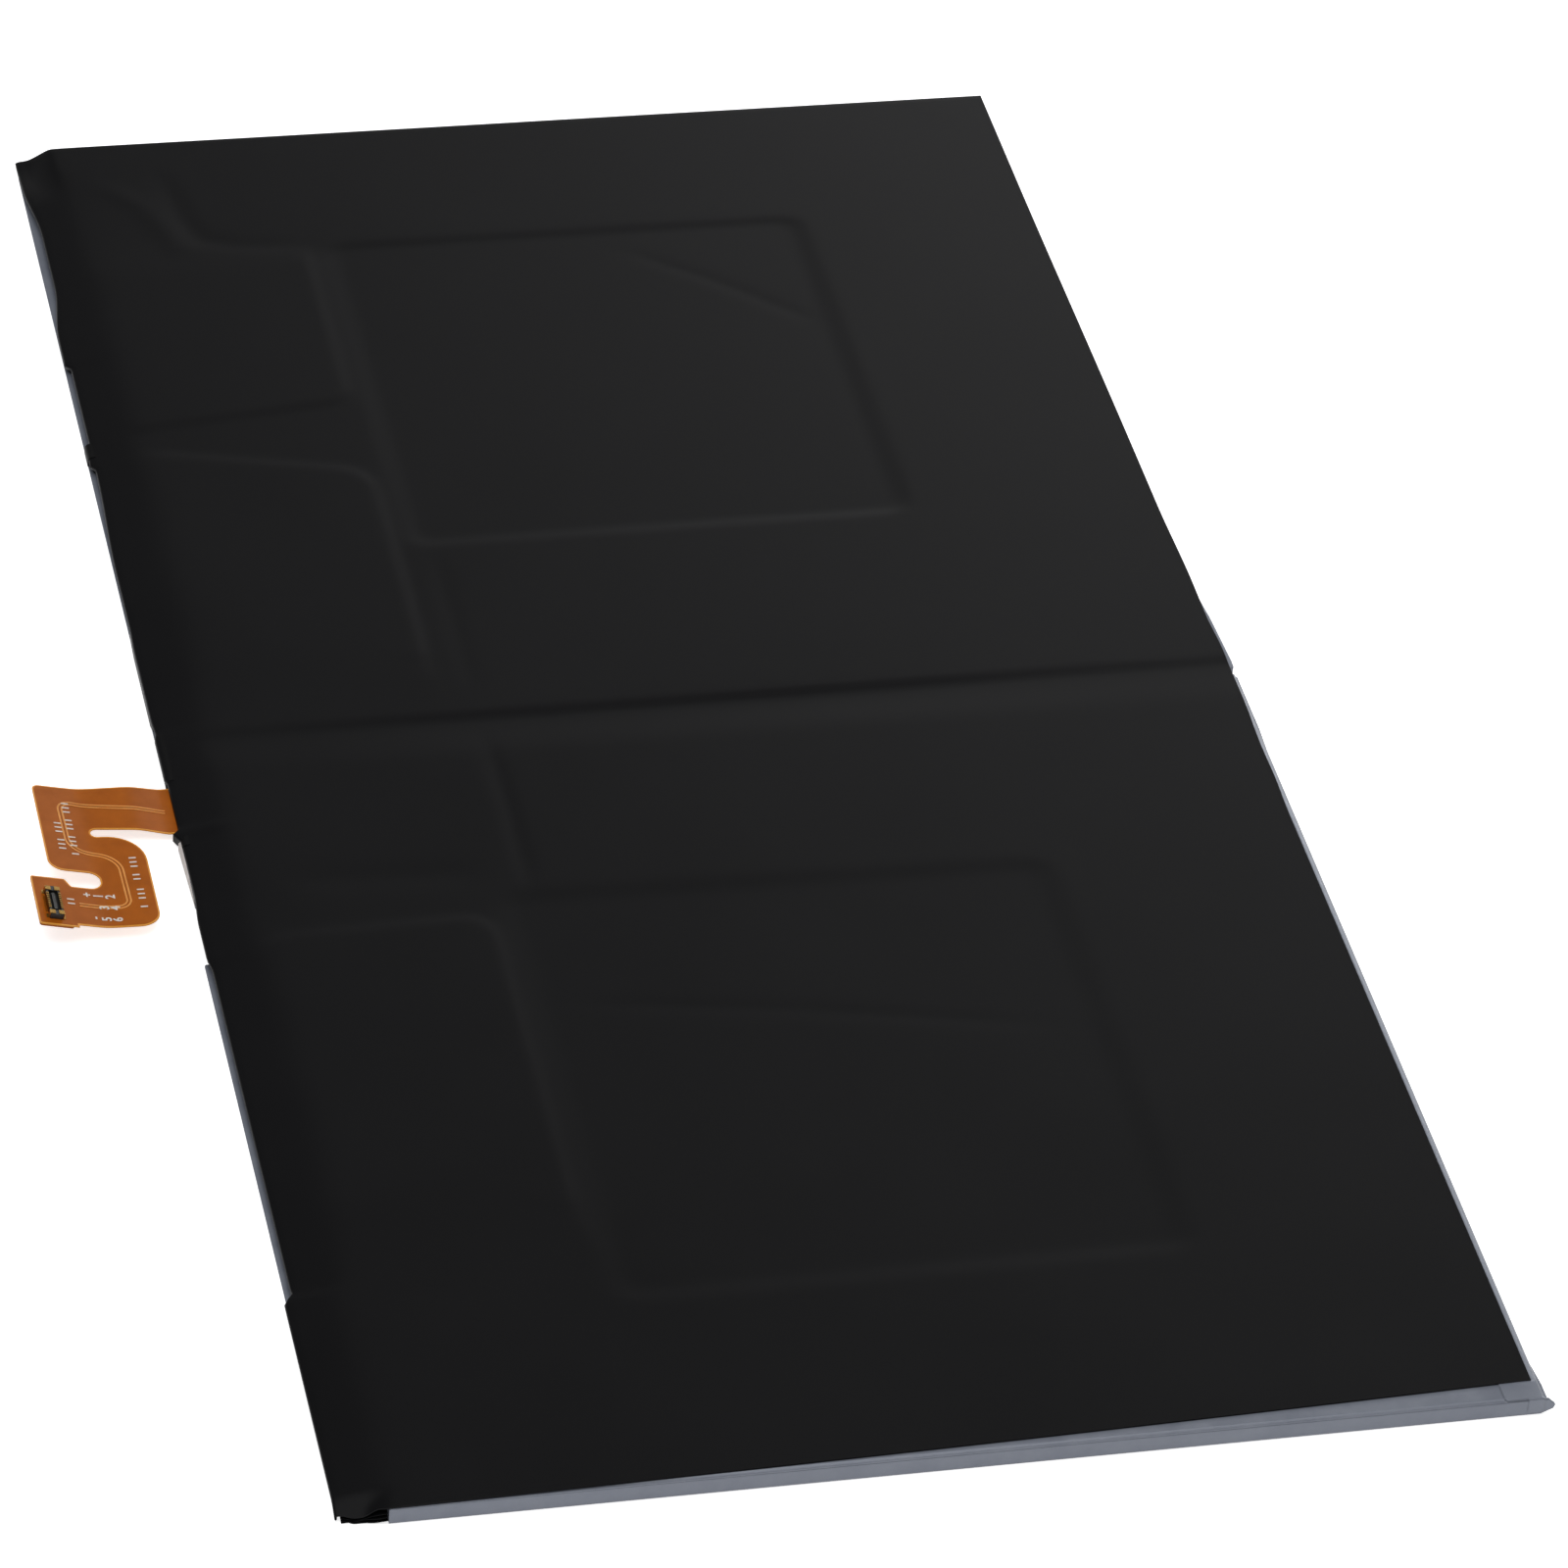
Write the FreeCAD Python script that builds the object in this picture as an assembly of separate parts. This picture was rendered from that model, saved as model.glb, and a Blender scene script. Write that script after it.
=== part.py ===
"""Flat two-cell lithium polymer battery pack for a tablet, with a flex circuit and plug.

Two pouch cells lie end to end along Y. Their sealed terraces face -X and carry the
protection board under the sloping edge of the front film. The S-shaped flex circuit
leaves that edge and ends in a board-to-board plug. Units are millimetres, +Z is up,
and the origin is the centre of the pack's underside.
"""
import FreeCAD, Part
import math
import os
from dataclasses import dataclass

Vector = FreeCAD.Vector

# Driving sizes of the pack
pack_length = 248.0
pack_width = 124.0
cell_thickness = 2.0
front_film_thickness = 0.12
back_film_thickness = 0.12

# Pouch cells
seam_y = 1.8
terrace_width = 4.9
terrace_thickness = 0.22
terrace_end_gap = 3.0
far_cell_right_inset = 0.1
near_cell_right_shift = 0.8
cell_corner_radius = 0.8
seam_shoulder_radius = 1.0
left_shoulder_radius = 1.0
right_shoulder_radius = 0.9
right_base_radius = 0.5
end_shoulder_radius = 0.3
end_envelope_radius = 0.12
seal_thickness = 0.25
seal_fold_gap = 0.06
seal_fold_web = 0.2
outer_seal_drop = 0.12
seam_seal_height = 1.45
seal_end_inset = 0.1
ear_reach = 1.0
flare_height = 1.2
flare_radius = 0.3
seam_foam_thickness = 0.88
seam_foam_height = 1.3

# Flares of the pouches' right sides: distance beyond the side, distance from seam or near end
far_seam_flare = (
    (-0.6, 30.0), (-0.6, 0.8), (1.2, 0.8), (1.25, 2.2), (0.9, 10.7), (0.4, 16.5), (0.05, 28.0),
)
near_seam_flare = ((-0.6, -0.8), (-0.6, -15.8), (0.05, -14.6), (0.2, -10.8), (0.2, -0.8))
near_corner_flare = ((-0.6, 9.0), (-0.6, 0.7), (0.35, 0.7), (0.35, 3.0), (0.05, 6.2))

# Pressed panels in the cell tops, each with a sloping wall
panel_depth = 0.12
panel_slope = 1.3
panel_corner = 2.0
panel_spacer_gap = 1.0
panel_right_inset = 29.9
far_panel_inset = 25.0
far_panel_length = 62.3
near_panel_inset = 28.6
near_panel_length = 66.1

# Corner flap, where the laminate of the near cell folds over its own end
flap_thickness = 0.1
flap_width = 4.0
flap_front_width = 1.5
flap_radius = 0.5
flap_film_gap = 0.15

# Spacer tapes between the cell tops and the front film
spacer_thickness = 0.1
spacer_left_inset = 4.0
spacer_width = 23.7
spacer_radius = 3.0
spacer_slope = 0.7
spacer_far_outer_inset = 23.0
spacer_far_outer_length = 35.0
spacer_far_gap = 8.5
spacer_far_inner_length = 49.5
spacer_near_inset = 36.0
spacer_near_length = 55.7
spacer_far_outer_skew = 3.0
spacer_far_inner_skew = -5.5

# Front film
film_right_inset = 0.15
film_near_left_gap = 0.25
film_near_right_gap = 3.0
seam_dip = 0.38
far_wrap_height = 1.6
lip_radius = 0.4
lip_inner_gap = 0.85
board_bay_near_gap = 1.2
near_overhang = 0.75
near_overhang_length = 32.8
bay_headroom = 0.06
trim_margin = 5.0

# Back film
back_film_side_inset = 0.9
back_film_end_inset = 0.5
back_film_corner = 1.0

# Parts of the terrace that show beyond the film
terrace_show = 0.5
near_show_spans = ((-91.0, -35.0),)

# Protection board
board_span = (-36.0, 30.0)
board_thickness = 0.4
board_width = 3.4
board_cell_gap = 0.3
backing_thickness = 0.08
tallest_chip = 0.45

# Cell tabs, folded back over the board onto weld plates
tab_width = 5.0
tab_thickness = 0.1
tab_gap_under = 0.06
tab_sealant_overhang = 0.7
tab_sealant_length = 0.25
tab_notch_depth = 1.05
tab_notch_clearance = 0.3
tab_top_length = 2.5
weld_plate_thickness = 0.15
weld_plate_width = 4.4
weld_plate_length = 2.2
tab_centres = {
    "positive_tab_far": 21.0,
    "negative_tab_far": 11.0,
    "positive_tab_near": -28.5,
    "negative_tab_near": -19.0,
}

# Parts soldered on the board: centre along the board, size across, size along, height
chips = {
    "charge_switch": (5.7, 2.3, 3.0, 0.45),
    "discharge_switch": (2.1, 2.3, 3.0, 0.45),
    "protection_chip": (-1.2, 1.8, 1.8, 0.40),
    "gauge_chip": (16.0, 2.0, 2.2, 0.42),
    "sense_resistor": (-14.2, 2.2, 1.3, 0.40),
    "thermal_fuse": (27.0, 2.3, 3.6, 0.45),
    "thermistor": (-23.7, 1.2, 0.7, 0.40),
}
chip_edge_chamfer = 0.06
small_part_size = (0.95, 0.5, 0.35)
small_part_column = 0.85
resistor_rows = (-3.1, -15.6, -32.2, -33.3)
capacitor_rows = (14.2, 17.8, -34.4, 24.3)

# Flex circuit: outline measured from the pack's left side and from Y = 0
flex_thickness = 0.15
flex_root = 3.8
flex_arm_far = -4.6
flex_arm_near_root = -12.6
flex_arm_near_slot = -11.8
flex_arm_flare = -0.3
flex_left = -14.5
flex_first_slot_end = -9.0
flex_first_slot_near = -13.3
flex_column_right = -3.45
flex_second_slot_end = -9.1
flex_second_slot_far = -19.65
flex_second_slot_near = -22.55
flex_bottom = -29.2
tab_left = -16.85
tab_far = -21.3
tab_near = -29.6
tab_right = -12.5
tab_step = 0.6
flex_corner_small = 0.3
flex_corner_top = 0.8
flex_corner_left = 1.7
flex_corner_inner = 4.4
flex_corner_bottom = 2.3
flex_slot_roundness = 0.92

# Height of the flex circuit along X, as straight runs joined by bends
flex_first_rise_start = -0.35
flex_first_rise_end = -3.6
flex_first_rise = 0.78
flex_second_rise_start = -9.4
flex_level_rise = 0.08
flex_tab_angle = 13.5
flex_bend_radius = 2.5
flex_root_bend_radius = 1.2
flex_window_clearance = 0.25

# Stiffener and plug on the end of the flex circuit
stiffener_thickness = 0.2
plug_centre_x = -14.95
plug_centre_y = -26.2
plug_length = 5.0
plug_width = 1.5
plug_height = 0.65
plug_floor = 0.2
plug_wall = 0.22
plug_end_wall = 0.75
plug_island_width = 0.36
contact_pitch = 0.35
contact_count = 8
contact_width = 0.16
contact_thickness = 0.07
contact_foot = 0.28
power_contact_width = 0.62
power_contact_foot = 0.3
power_contact_wrap = 0.55

# Solder joints between flex circuit and board
solder_joint_count = 5
solder_joint_size = (0.45, 0.9, 0.14)
solder_joint_pitch = 1.5

# Tape pieces that hold the film's edge down
edge_tape_thickness = 0.08
edge_tape_reach = 0.7
edge_tape_spans = {
    "edge_tape_far": (58.6, 61.4),
    "edge_tape_flex_far": (-3.9, 4.8),
    "edge_tape_flex_near": (-15.6, -13.3),
    "edge_tape_near": (-34.8, -29.2),
}

# Levels and places that follow from the sizes above
left_side = -pack_width / 2
far_side = pack_length / 2
near_side = -pack_length / 2
cell_base = back_film_thickness
cell_top = cell_base + cell_thickness
terrace_top = cell_base + terrace_thickness
cell_left = left_side + terrace_width + 0.1
seal_stack = seal_thickness + seal_fold_gap
seam_half_gap = seal_stack + seam_foam_thickness / 2
film_top = cell_top + front_film_thickness
film_right_edge = pack_width / 2 - film_right_inset
spacer_left = cell_left + spacer_left_inset
spacer_right = spacer_left + spacer_width
far_panel_span = (far_side - far_panel_inset - far_panel_length, far_side - far_panel_inset)
near_panel_span = (near_side + near_panel_inset, near_side + near_panel_inset + near_panel_length)
panel_left = spacer_right + panel_spacer_gap
panel_right = pack_width / 2 - panel_right_inset
film_wall_inner = left_side + lip_inner_gap
film_wall_outer = film_wall_inner - front_film_thickness
board_base = terrace_top + backing_thickness
board_top = board_base + board_thickness
board_right = cell_left - board_cell_gap
board_left = board_right - board_width
board_middle = (board_left + board_right) / 2
bay_top = board_top + tallest_chip + bay_headroom
bay_near = near_side + board_bay_near_gap
bay_far = far_side - front_film_thickness


def in_plan(u, v):
    """Point (u, v) of an outline in the XY plane."""
    return Vector(u, v, 0)


def in_side(u, v):
    """Point (u, v) of an outline in the YZ plane."""
    return Vector(0, u, v)


def in_end(u, v):
    """Point (u, v) of an outline in the XZ plane."""
    return Vector(u, 0, v)


def box(x_span, y_span, z_span):
    """Box between the low and high values of three spans."""
    size = [high - low for low, high in (x_span, y_span, z_span)]
    return Part.makeBox(*size, Vector(x_span[0], y_span[0], z_span[0]))


def joined(shapes):
    """All shapes as one solid, with the seams between flush faces removed."""
    shapes = list(shapes)
    if len(shapes) == 1:
        return shapes[0]
    return shapes[0].fuse(shapes[1:]).removeSplitter()


def rounded_wire(points, radii, plane):
    """Closed outline through the points, with each corner rounded to its own radius."""
    count = len(points)
    corners = []
    for i in range(count):
        here = plane(*points[i])
        before = plane(*points[i - 1]) - here
        after = plane(*points[(i + 1) % count]) - here
        before.normalize()
        after.normalize()
        if radii[i] <= 0:
            corners.append((here, here, None))
            continue
        half_angle = before.getAngle(after) / 2
        reach = radii[i] / math.tan(half_angle)
        middle = before + after
        middle.normalize()
        centre = here + middle * (radii[i] / math.sin(half_angle))
        corners.append((here + before * reach, here + after * reach, centre - middle * radii[i]))
    edges = []
    for i in range(count):
        start, end, crown = corners[i]
        following = corners[(i + 1) % count][0]
        if crown is not None:
            edges.append(Part.Arc(start, crown, end).toShape())
        if (following - end).Length > 1e-6:
            edges.append(Part.LineSegment(end, following).toShape())
    return Part.Wire(edges)


def prism(points, radii, plane, direction, start, end):
    """Outline with rounded corners, extruded from start to end along a unit direction."""
    face = Part.Face(rounded_wire(points, radii, plane))
    face.translate(direction * start)
    return face.extrude(direction * (end - start))


def rectangle(u_span, v_span):
    """Corners of a rectangle, anticlockwise from its low corner."""
    return [
        (u_span[0], v_span[0]),
        (u_span[1], v_span[0]),
        (u_span[1], v_span[1]),
        (u_span[0], v_span[1]),
    ]


def plate(x_span, y_span, z_span, radius):
    """Flat plate with rounded corners in plan."""
    return prism(rectangle(x_span, y_span), [radius] * 4, in_plan, Vector(0, 0, 1), *z_span)


def offset_outline(points, distance):
    """Corners of a convex outline, each side moved outwards by the distance."""
    moved = []
    count = len(points)
    for i in range(count):
        here = Vector(*points[i], 0)
        before = here - Vector(*points[i - 1], 0)
        after = Vector(*points[(i + 1) % count], 0) - here
        before.normalize()
        after.normalize()
        out_before = Vector(before.y, -before.x, 0)
        out_after = Vector(after.y, -after.x, 0)
        corner = out_before + out_after
        scale = distance / (1 + out_before.dot(out_after))
        moved.append((here.x + corner.x * scale, here.y + corner.y * scale))
    return moved


def sloped_pad(points, radius, slope, z_low, z_high):
    """Raised pad: its outline at z_high, wider by the slope at z_low."""
    wide = rounded_wire(offset_outline(points, slope), [radius + slope] * len(points), in_plan)
    narrow = rounded_wire(points, [radius] * len(points), in_plan)
    wide.translate(Vector(0, 0, z_low))
    narrow.translate(Vector(0, 0, z_high))
    return Part.makeLoft([wide, narrow], True, True)


def sheet_outline(path, bends, low, high):
    """Section of a bent sheet between two offsets from a path of straight runs."""
    def shifted(distance):
        points, radii = [], []
        last = len(path) - 1
        for i, point in enumerate(path):
            here = Vector(*point, 0)
            ahead = Vector(*path[min(i + 1, last)], 0) - here
            behind = here - Vector(*path[max(i - 1, 0)], 0)
            ahead = behind if i == last else ahead
            behind = ahead if i == 0 else behind
            ahead.normalize()
            behind.normalize()
            side_a = Vector(-behind.y, behind.x, 0)
            side_b = Vector(-ahead.y, ahead.x, 0)
            scale = distance / (1 + side_a.dot(side_b))
            spot = here + (side_a + side_b) * scale
            points.append((spot.x, spot.y))
            turn = behind.cross(ahead).z
            sign = (turn > 0) - (turn < 0)
            radii.append(bends[i] - sign * distance if bends[i] > 0 else 0)
        return points, radii
    low_points, low_radii = shifted(low)
    high_points, high_radii = shifted(high)
    return low_points + high_points[::-1], low_radii + high_radii[::-1]


def bent_sheet(path, bends, low, high, y_span):
    """Bent sheet of constant section in the XZ plane, extruded along Y."""
    points, radii = sheet_outline(path, bends, low, high)
    return prism(points, radii, in_end, Vector(0, 1, 0), *y_span)


@dataclass
class Cell:
    """One pouch cell: its body between two walls, and the values that differ."""

    wall_near: float
    wall_far: float
    right: float
    near_is_seam: bool
    panel_span: tuple
    show_spans: tuple
    flares: tuple

    def wall_spans(self):
        """Span that the front film drapes over, folded seals at the outer end included."""
        near = self.wall_near if self.near_is_seam else self.wall_near - seal_stack
        far = self.wall_far + seal_stack if self.near_is_seam else self.wall_far
        return near, far


far_cell = Cell(
    wall_near=seam_y + seam_half_gap,
    wall_far=far_side - front_film_thickness - seal_stack,
    right=pack_width / 2 - far_cell_right_inset,
    near_is_seam=True,
    panel_span=far_panel_span,
    show_spans=(),
    flares=((far_seam_flare, seam_y),),
)
near_cell = Cell(
    wall_near=near_side + seal_stack,
    wall_far=seam_y - seam_half_gap,
    right=pack_width / 2 + near_cell_right_shift,
    near_is_seam=False,
    panel_span=near_panel_span,
    show_spans=near_show_spans,
    flares=((near_seam_flare, seam_y), (near_corner_flare, near_side)),
)


def pillow(x_span, y_span, grow, near_radius, far_radius):
    """Rounded slab of a cell, larger by grow on every side but its base."""
    left, right = x_span[0] - grow, x_span[1] + grow
    near, far = y_span[0] - grow, y_span[1] + grow
    top = cell_top + grow
    side = prism(
        rectangle((near, far), (cell_base, top)),
        [0, 0, far_radius + grow, near_radius + grow],
        in_side, Vector(1, 0, 0), left, right,
    )
    end = prism(
        rectangle((left, right), (cell_base, top)),
        [0, right_base_radius, right_shoulder_radius + grow, left_shoulder_radius + grow],
        in_end, Vector(0, 1, 0), near, far,
    )
    outline = plate((left, right), (near, far), (cell_base, top), cell_corner_radius + grow)
    return side.common(end).common(outline)


def panel_recess(cell, grow):
    """Volume of the pressed panel in a cell's top, raised by grow."""
    outline = rectangle((panel_left, panel_right), cell.panel_span)
    floor = cell_top + grow - panel_depth
    inner = offset_outline(outline, -panel_slope)
    narrow = rounded_wire(inner, [panel_corner] * 4, in_plan)
    wide = rounded_wire(outline, [panel_corner + panel_slope] * 4, in_plan)
    narrow.translate(Vector(0, 0, floor))
    wide.translate(Vector(0, 0, cell_top + grow))
    return Part.makeLoft([narrow, wide], True, True)


def folded_seal(cell, outer_y, inward, top, right_points):
    """Side seal of a pouch, folded up along an end wall and joined to it at its base."""
    left = cell_left + seal_end_inset
    points = [(left, cell_base)] + right_points + [(left, top)]
    radii = [0] + [0.2] * len(right_points) + [0.15]
    near, far = sorted((outer_y, outer_y + inward * seal_thickness))
    strip = prism(points, radii, in_end, Vector(0, 1, 0), near, far)
    web_span = sorted((outer_y, outer_y + inward * (seal_stack + cell_corner_radius)))
    web = box(
        (left, cell.right - cell_corner_radius), web_span, (cell_base, cell_base + seal_fold_web)
    )
    return [strip, web]


def end_seals(cell):
    """Both folded side seals of a cell."""
    square_end = cell.right - cell_corner_radius
    hidden = [(square_end, cell_base), (square_end, cell_base + seam_seal_height)]
    outer_top = cell_top - outer_seal_drop
    eared = [
        (cell.right - 0.5, cell_base),
        (cell.right + 0.8 * ear_reach, cell_base + 0.6),
        (cell.right + ear_reach, cell_base + 1.1),
        (cell.right + 0.2 * ear_reach, outer_top),
    ]
    plain = [(square_end, cell_base), (square_end, outer_top)]
    seam_top = cell_base + seam_seal_height
    near_y = cell.wall_near - seal_stack
    far_y = cell.wall_far + seal_stack
    if cell.near_is_seam:
        return (folded_seal(cell, near_y, 1, seam_top, hidden)
                + folded_seal(cell, far_y, -1, outer_top, plain))
    crest = box(
        (cell_left + seal_end_inset + cell_corner_radius, square_end),
        (near_y, cell.wall_near + end_shoulder_radius),
        (outer_top - seal_fold_web, outer_top),
    )
    return (folded_seal(cell, near_y, 1, outer_top, eared)
            + folded_seal(cell, far_y, -1, seam_top, hidden) + [crest])


def side_flare(cell, outline, start):
    """Part of a pouch's right side that stands out beyond the rest."""
    points = [(cell.right + u, start + v) for u, v in outline]
    z_span = (cell_base, cell_base + flare_height)
    return prism(points, [0, 0] + [flare_radius] * (len(points) - 2), in_plan,
                 Vector(0, 0, 1), *z_span)


def terrace(cell):
    """Flat sealed edge on the tab side, notched where tabs leave it."""
    y_span = (cell.wall_near + terrace_end_gap, cell.wall_far - terrace_end_gap)
    z_span = (cell_base, terrace_top)
    parts = [box((film_wall_outer, cell_left + left_shoulder_radius), y_span, z_span)]
    show_edge = film_wall_outer - terrace_show
    for span in cell.show_spans:
        parts.append(plate((show_edge, board_middle), span, z_span, terrace_show / 2))
    shape = joined(parts)
    for centre in tab_centres.values():
        half = tab_width / 2 + tab_sealant_overhang + tab_notch_clearance
        notch_right = board_left + tab_notch_depth
        shape = shape.cut(box((show_edge - 1, notch_right), (centre - half, centre + half), z_span))
    return shape


def corner_flap(cell):
    """Laminate folded over the near right corner: a tongue on top and a leg on the end."""
    outer = cell.wall_near - seal_stack
    right = cell.right - right_shoulder_radius * 0.5
    left = right - flap_width
    top_level = cell_top + flap_thickness
    slant = (film_near_right_gap - film_near_left_gap) / (film_right_edge - cell_left)
    film_edge = near_side + film_near_left_gap + slant * (left - cell_left)
    tongue = prism(
        rectangle((left, right), (outer + 0.1, film_edge - flap_film_gap)),
        [flap_radius, 0, 0, 0], in_plan, Vector(0, 0, 1), cell_top - flap_thickness, top_level,
    )
    leg_span = (right - flap_front_width, right + 0.25)
    leg = prism(
        rectangle(leg_span, (cell_base + 0.3, top_level)),
        [0.3, 0.3, 0.2, 0], in_end, Vector(0, 1, 0),
        outer - flap_thickness, outer + seal_thickness,
    )
    bridge = box(
        (leg_span[0], right), (outer - flap_thickness, outer + seal_stack + 0.4),
        (cell_top - outer_seal_drop - flap_thickness, top_level),
    )
    return [tongue, leg, bridge]


def pouch_cell(cell):
    """Whole sealed pouch cell as one solid."""
    end_radii = (seam_shoulder_radius, end_shoulder_radius)
    near_radius, far_radius = end_radii if cell.near_is_seam else end_radii[::-1]
    body = pillow((cell_left, cell.right), (cell.wall_near, cell.wall_far), 0,
                  near_radius, far_radius)
    body = body.cut(panel_recess(cell, 0))
    parts = [body, terrace(cell)] + end_seals(cell)
    parts += [side_flare(cell, outline, start) for outline, start in cell.flares]
    if not cell.near_is_seam:
        parts += corner_flap(cell)
    return joined(parts)


def spacer_outline(span, skew_far, skew_near):
    """Plan of a spacer tape whose ends may run at a slant."""
    near, far = span
    return [
        (spacer_left, near + skew_near),
        (spacer_right, near),
        (spacer_right, far + min(skew_far, 0)),
        (spacer_left, far),
    ]


def spacer_places():
    """Plan of each spacer tape, by the name of its node."""
    outer_far = far_side - spacer_far_outer_inset
    outer_near = outer_far - spacer_far_outer_length
    near_start = near_side + spacer_near_inset
    inner_far = outer_near - spacer_far_gap
    return {
        "spacer_tape_far_outer": spacer_outline(
            (outer_near, outer_far), 0, -spacer_far_outer_skew),
        "spacer_tape_far_inner": spacer_outline(
            (inner_far - spacer_far_inner_length, inner_far), spacer_far_inner_skew, 0),
        "spacer_tape_near": spacer_outline(
            (near_start, near_start + spacer_near_length), 0, 0),
    }


spacers = spacer_places()


def spacer_tape(outline):
    """Spacer tape on a cell's top."""
    return prism(
        outline, [spacer_radius] * 4, in_plan, Vector(0, 0, 1),
        cell_top, cell_top + spacer_thickness,
    )


def board_bay(grow):
    """Space for the board beside the cells, under the slope of the film."""
    slope_start = cell_left + left_shoulder_radius * 0.7
    slope = (cell_top - bay_top) / (slope_start - film_wall_inner)
    lift = grow * math.hypot(1, slope)

    def bay(overhang, far_end):
        wall = film_wall_inner - overhang - grow
        points = [
            (wall, terrace_top),
            (slope_start + 1.0, terrace_top),
            (slope_start + 1.0, cell_top + grow - 0.2),
            (slope_start, cell_top + lift),
            (wall, bay_top + lift - slope * (grow + overhang)),
        ]
        radii = [0, 0, 0, 0, lip_radius + grow]
        return prism(points, radii, in_end, Vector(0, 1, 0), bay_near - grow, far_end + grow)

    return bay(0, bay_far).fuse(bay(near_overhang, near_side + near_overhang_length))


def seam_bridge(grow):
    """Block between the cells whose top carries the film across the seam."""
    return box(
        (cell_left, far_cell.right + grow),
        (seam_y - seam_half_gap - grow, seam_y + seam_half_gap + grow),
        (cell_base + seam_seal_height, cell_top - seam_dip + grow),
    )


def draped_form(grow):
    """Outer form of everything under the front film, larger by grow."""
    parts = [board_bay(grow), seam_bridge(grow)]
    for cell in (far_cell, near_cell):
        end_radii = (seam_shoulder_radius, end_envelope_radius)
        near_radius, far_radius = end_radii if cell.near_is_seam else end_radii[::-1]
        parts.append(pillow((cell_left, cell.right), cell.wall_spans(), grow,
                            near_radius, far_radius))
    for outline in spacers.values():
        if grow > 0:
            widened = offset_outline(outline, grow)
            parts.append(sloped_pad(widened, spacer_radius + grow, spacer_slope,
                                    cell_top + grow, cell_top + grow + spacer_thickness))
        else:
            parts.append(spacer_tape(outline))
    form = parts[0].fuse(parts[1:])
    for cell in (far_cell, near_cell):
        form = form.cut(panel_recess(cell, grow))
    return form


def front_film():
    """Black film over both cells, down the far end and down to the terrace at the left."""
    shell = draped_form(front_film_thickness).cut(draped_form(0))
    x_span = (left_side - trim_margin, film_right_edge)
    y_span = (near_side - trim_margin, far_side + trim_margin)
    roof = film_top + trim_margin
    far_wrap_depth = front_film_thickness + seal_stack + 0.5
    keep = joined([
        box(x_span, y_span, (cell_top - seam_dip - front_film_thickness, roof)),
        box((cell_left, film_right_edge), (far_side - far_wrap_depth, y_span[1]),
            (film_top - far_wrap_height, roof)),
        box((x_span[0], cell_left), y_span, (terrace_top, roof)),
    ])
    near_trim = prism(
        [
            (cell_left, near_side - trim_margin),
            (film_right_edge + trim_margin, near_side - trim_margin),
            (film_right_edge + trim_margin, near_side + film_near_right_gap),
            (cell_left, near_side + film_near_left_gap),
        ],
        [0] * 4, in_plan, Vector(0, 0, 1), 0, roof,
    )
    window = box(
        (left_side - trim_margin, board_left),
        (flex_arm_near_root - flex_window_clearance, flex_arm_far + flex_window_clearance),
        (0, board_top + flex_thickness + flex_window_clearance),
    )
    return shell.common(keep).cut(near_trim).cut(window)


def back_film():
    """Black film under both cells, on which the pack lies."""
    return plate(
        (left_side + back_film_side_inset, pack_width / 2 - back_film_side_inset),
        (near_side + back_film_end_inset, far_side - back_film_end_inset),
        (0, back_film_thickness), back_film_corner,
    )


def seam_foam():
    """Foam strip between the folded seals of the two cells."""
    half = seam_foam_thickness / 2
    right = far_cell.right - cell_corner_radius
    return box((cell_left + seal_end_inset, right), (seam_y - half, seam_y + half),
               (cell_base, cell_base + seam_foam_height))


def protection_board():
    """Narrow circuit board on the terraces."""
    return plate((board_left, board_right), board_span, (board_base, board_top), 0.3)


def board_backing():
    """Adhesive tape between terraces and board, clear of the tab notches."""
    right = board_right
    left = board_left + tab_notch_depth
    return box((left, right), board_span, (terrace_top, board_base))


def cell_tab(centre):
    """Tab that leaves the terrace, turns round the board's edge and lies on its plate."""
    low = cell_base + tab_gap_under + tab_thickness / 2
    high = board_top + weld_plate_thickness + tab_thickness / 2
    bend = (high - low) / 2
    root = board_left + tab_notch_depth
    turn = film_wall_inner + tab_gap_under + tab_thickness / 2
    path = [(root, low), (turn, low), (turn, high), (board_left + tab_top_length, high)]
    half = tab_thickness / 2
    span = (centre - tab_width / 2, centre + tab_width / 2)
    return bent_sheet(path, [0, bend, bend, 0], -half, half, span)


def tab_sealant(centre):
    """Sealant sleeve round the root of a tab, against the terrace's edge."""
    half = tab_width / 2 + tab_sealant_overhang
    root = board_left + tab_notch_depth
    sleeve = box((root - tab_sealant_length, root), (centre - half, centre + half),
                 (cell_base, terrace_top))
    return sleeve.cut(cell_tab(centre))


def weld_plate(centre):
    """Nickel plate soldered to the board, to which a tab is welded."""
    left = board_left + 0.25
    half = weld_plate_width / 2
    return plate((left, left + weld_plate_length), (centre - half, centre + half),
                 (board_top, board_top + weld_plate_thickness), 0.15)


def chip(centre, across, along, height):
    """Moulded part on the board with chamfered top edges."""
    x_span = (board_middle - across / 2, board_middle + across / 2)
    body = box(x_span, (centre - along / 2, centre + along / 2),
               (board_top, board_top + height))
    top_edges = [e for e in body.Edges
                 if all(abs(v.Z - board_top - height) < 1e-6 for v in e.Vertexes)]
    return body.makeChamfer(chip_edge_chamfer, top_edges)


def small_parts(rows):
    """Two columns of tiny resistors or capacitors, one pair for each row."""
    along, across, height = small_part_size
    solids = []
    for row in rows:
        for side in (-1, 1):
            x = board_middle + side * small_part_column
            solids.append(box((x - along / 2, x + along / 2), (row - across / 2, row + across / 2),
                              (board_top, board_top + height)))
    return Part.makeCompound(solids)


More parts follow.
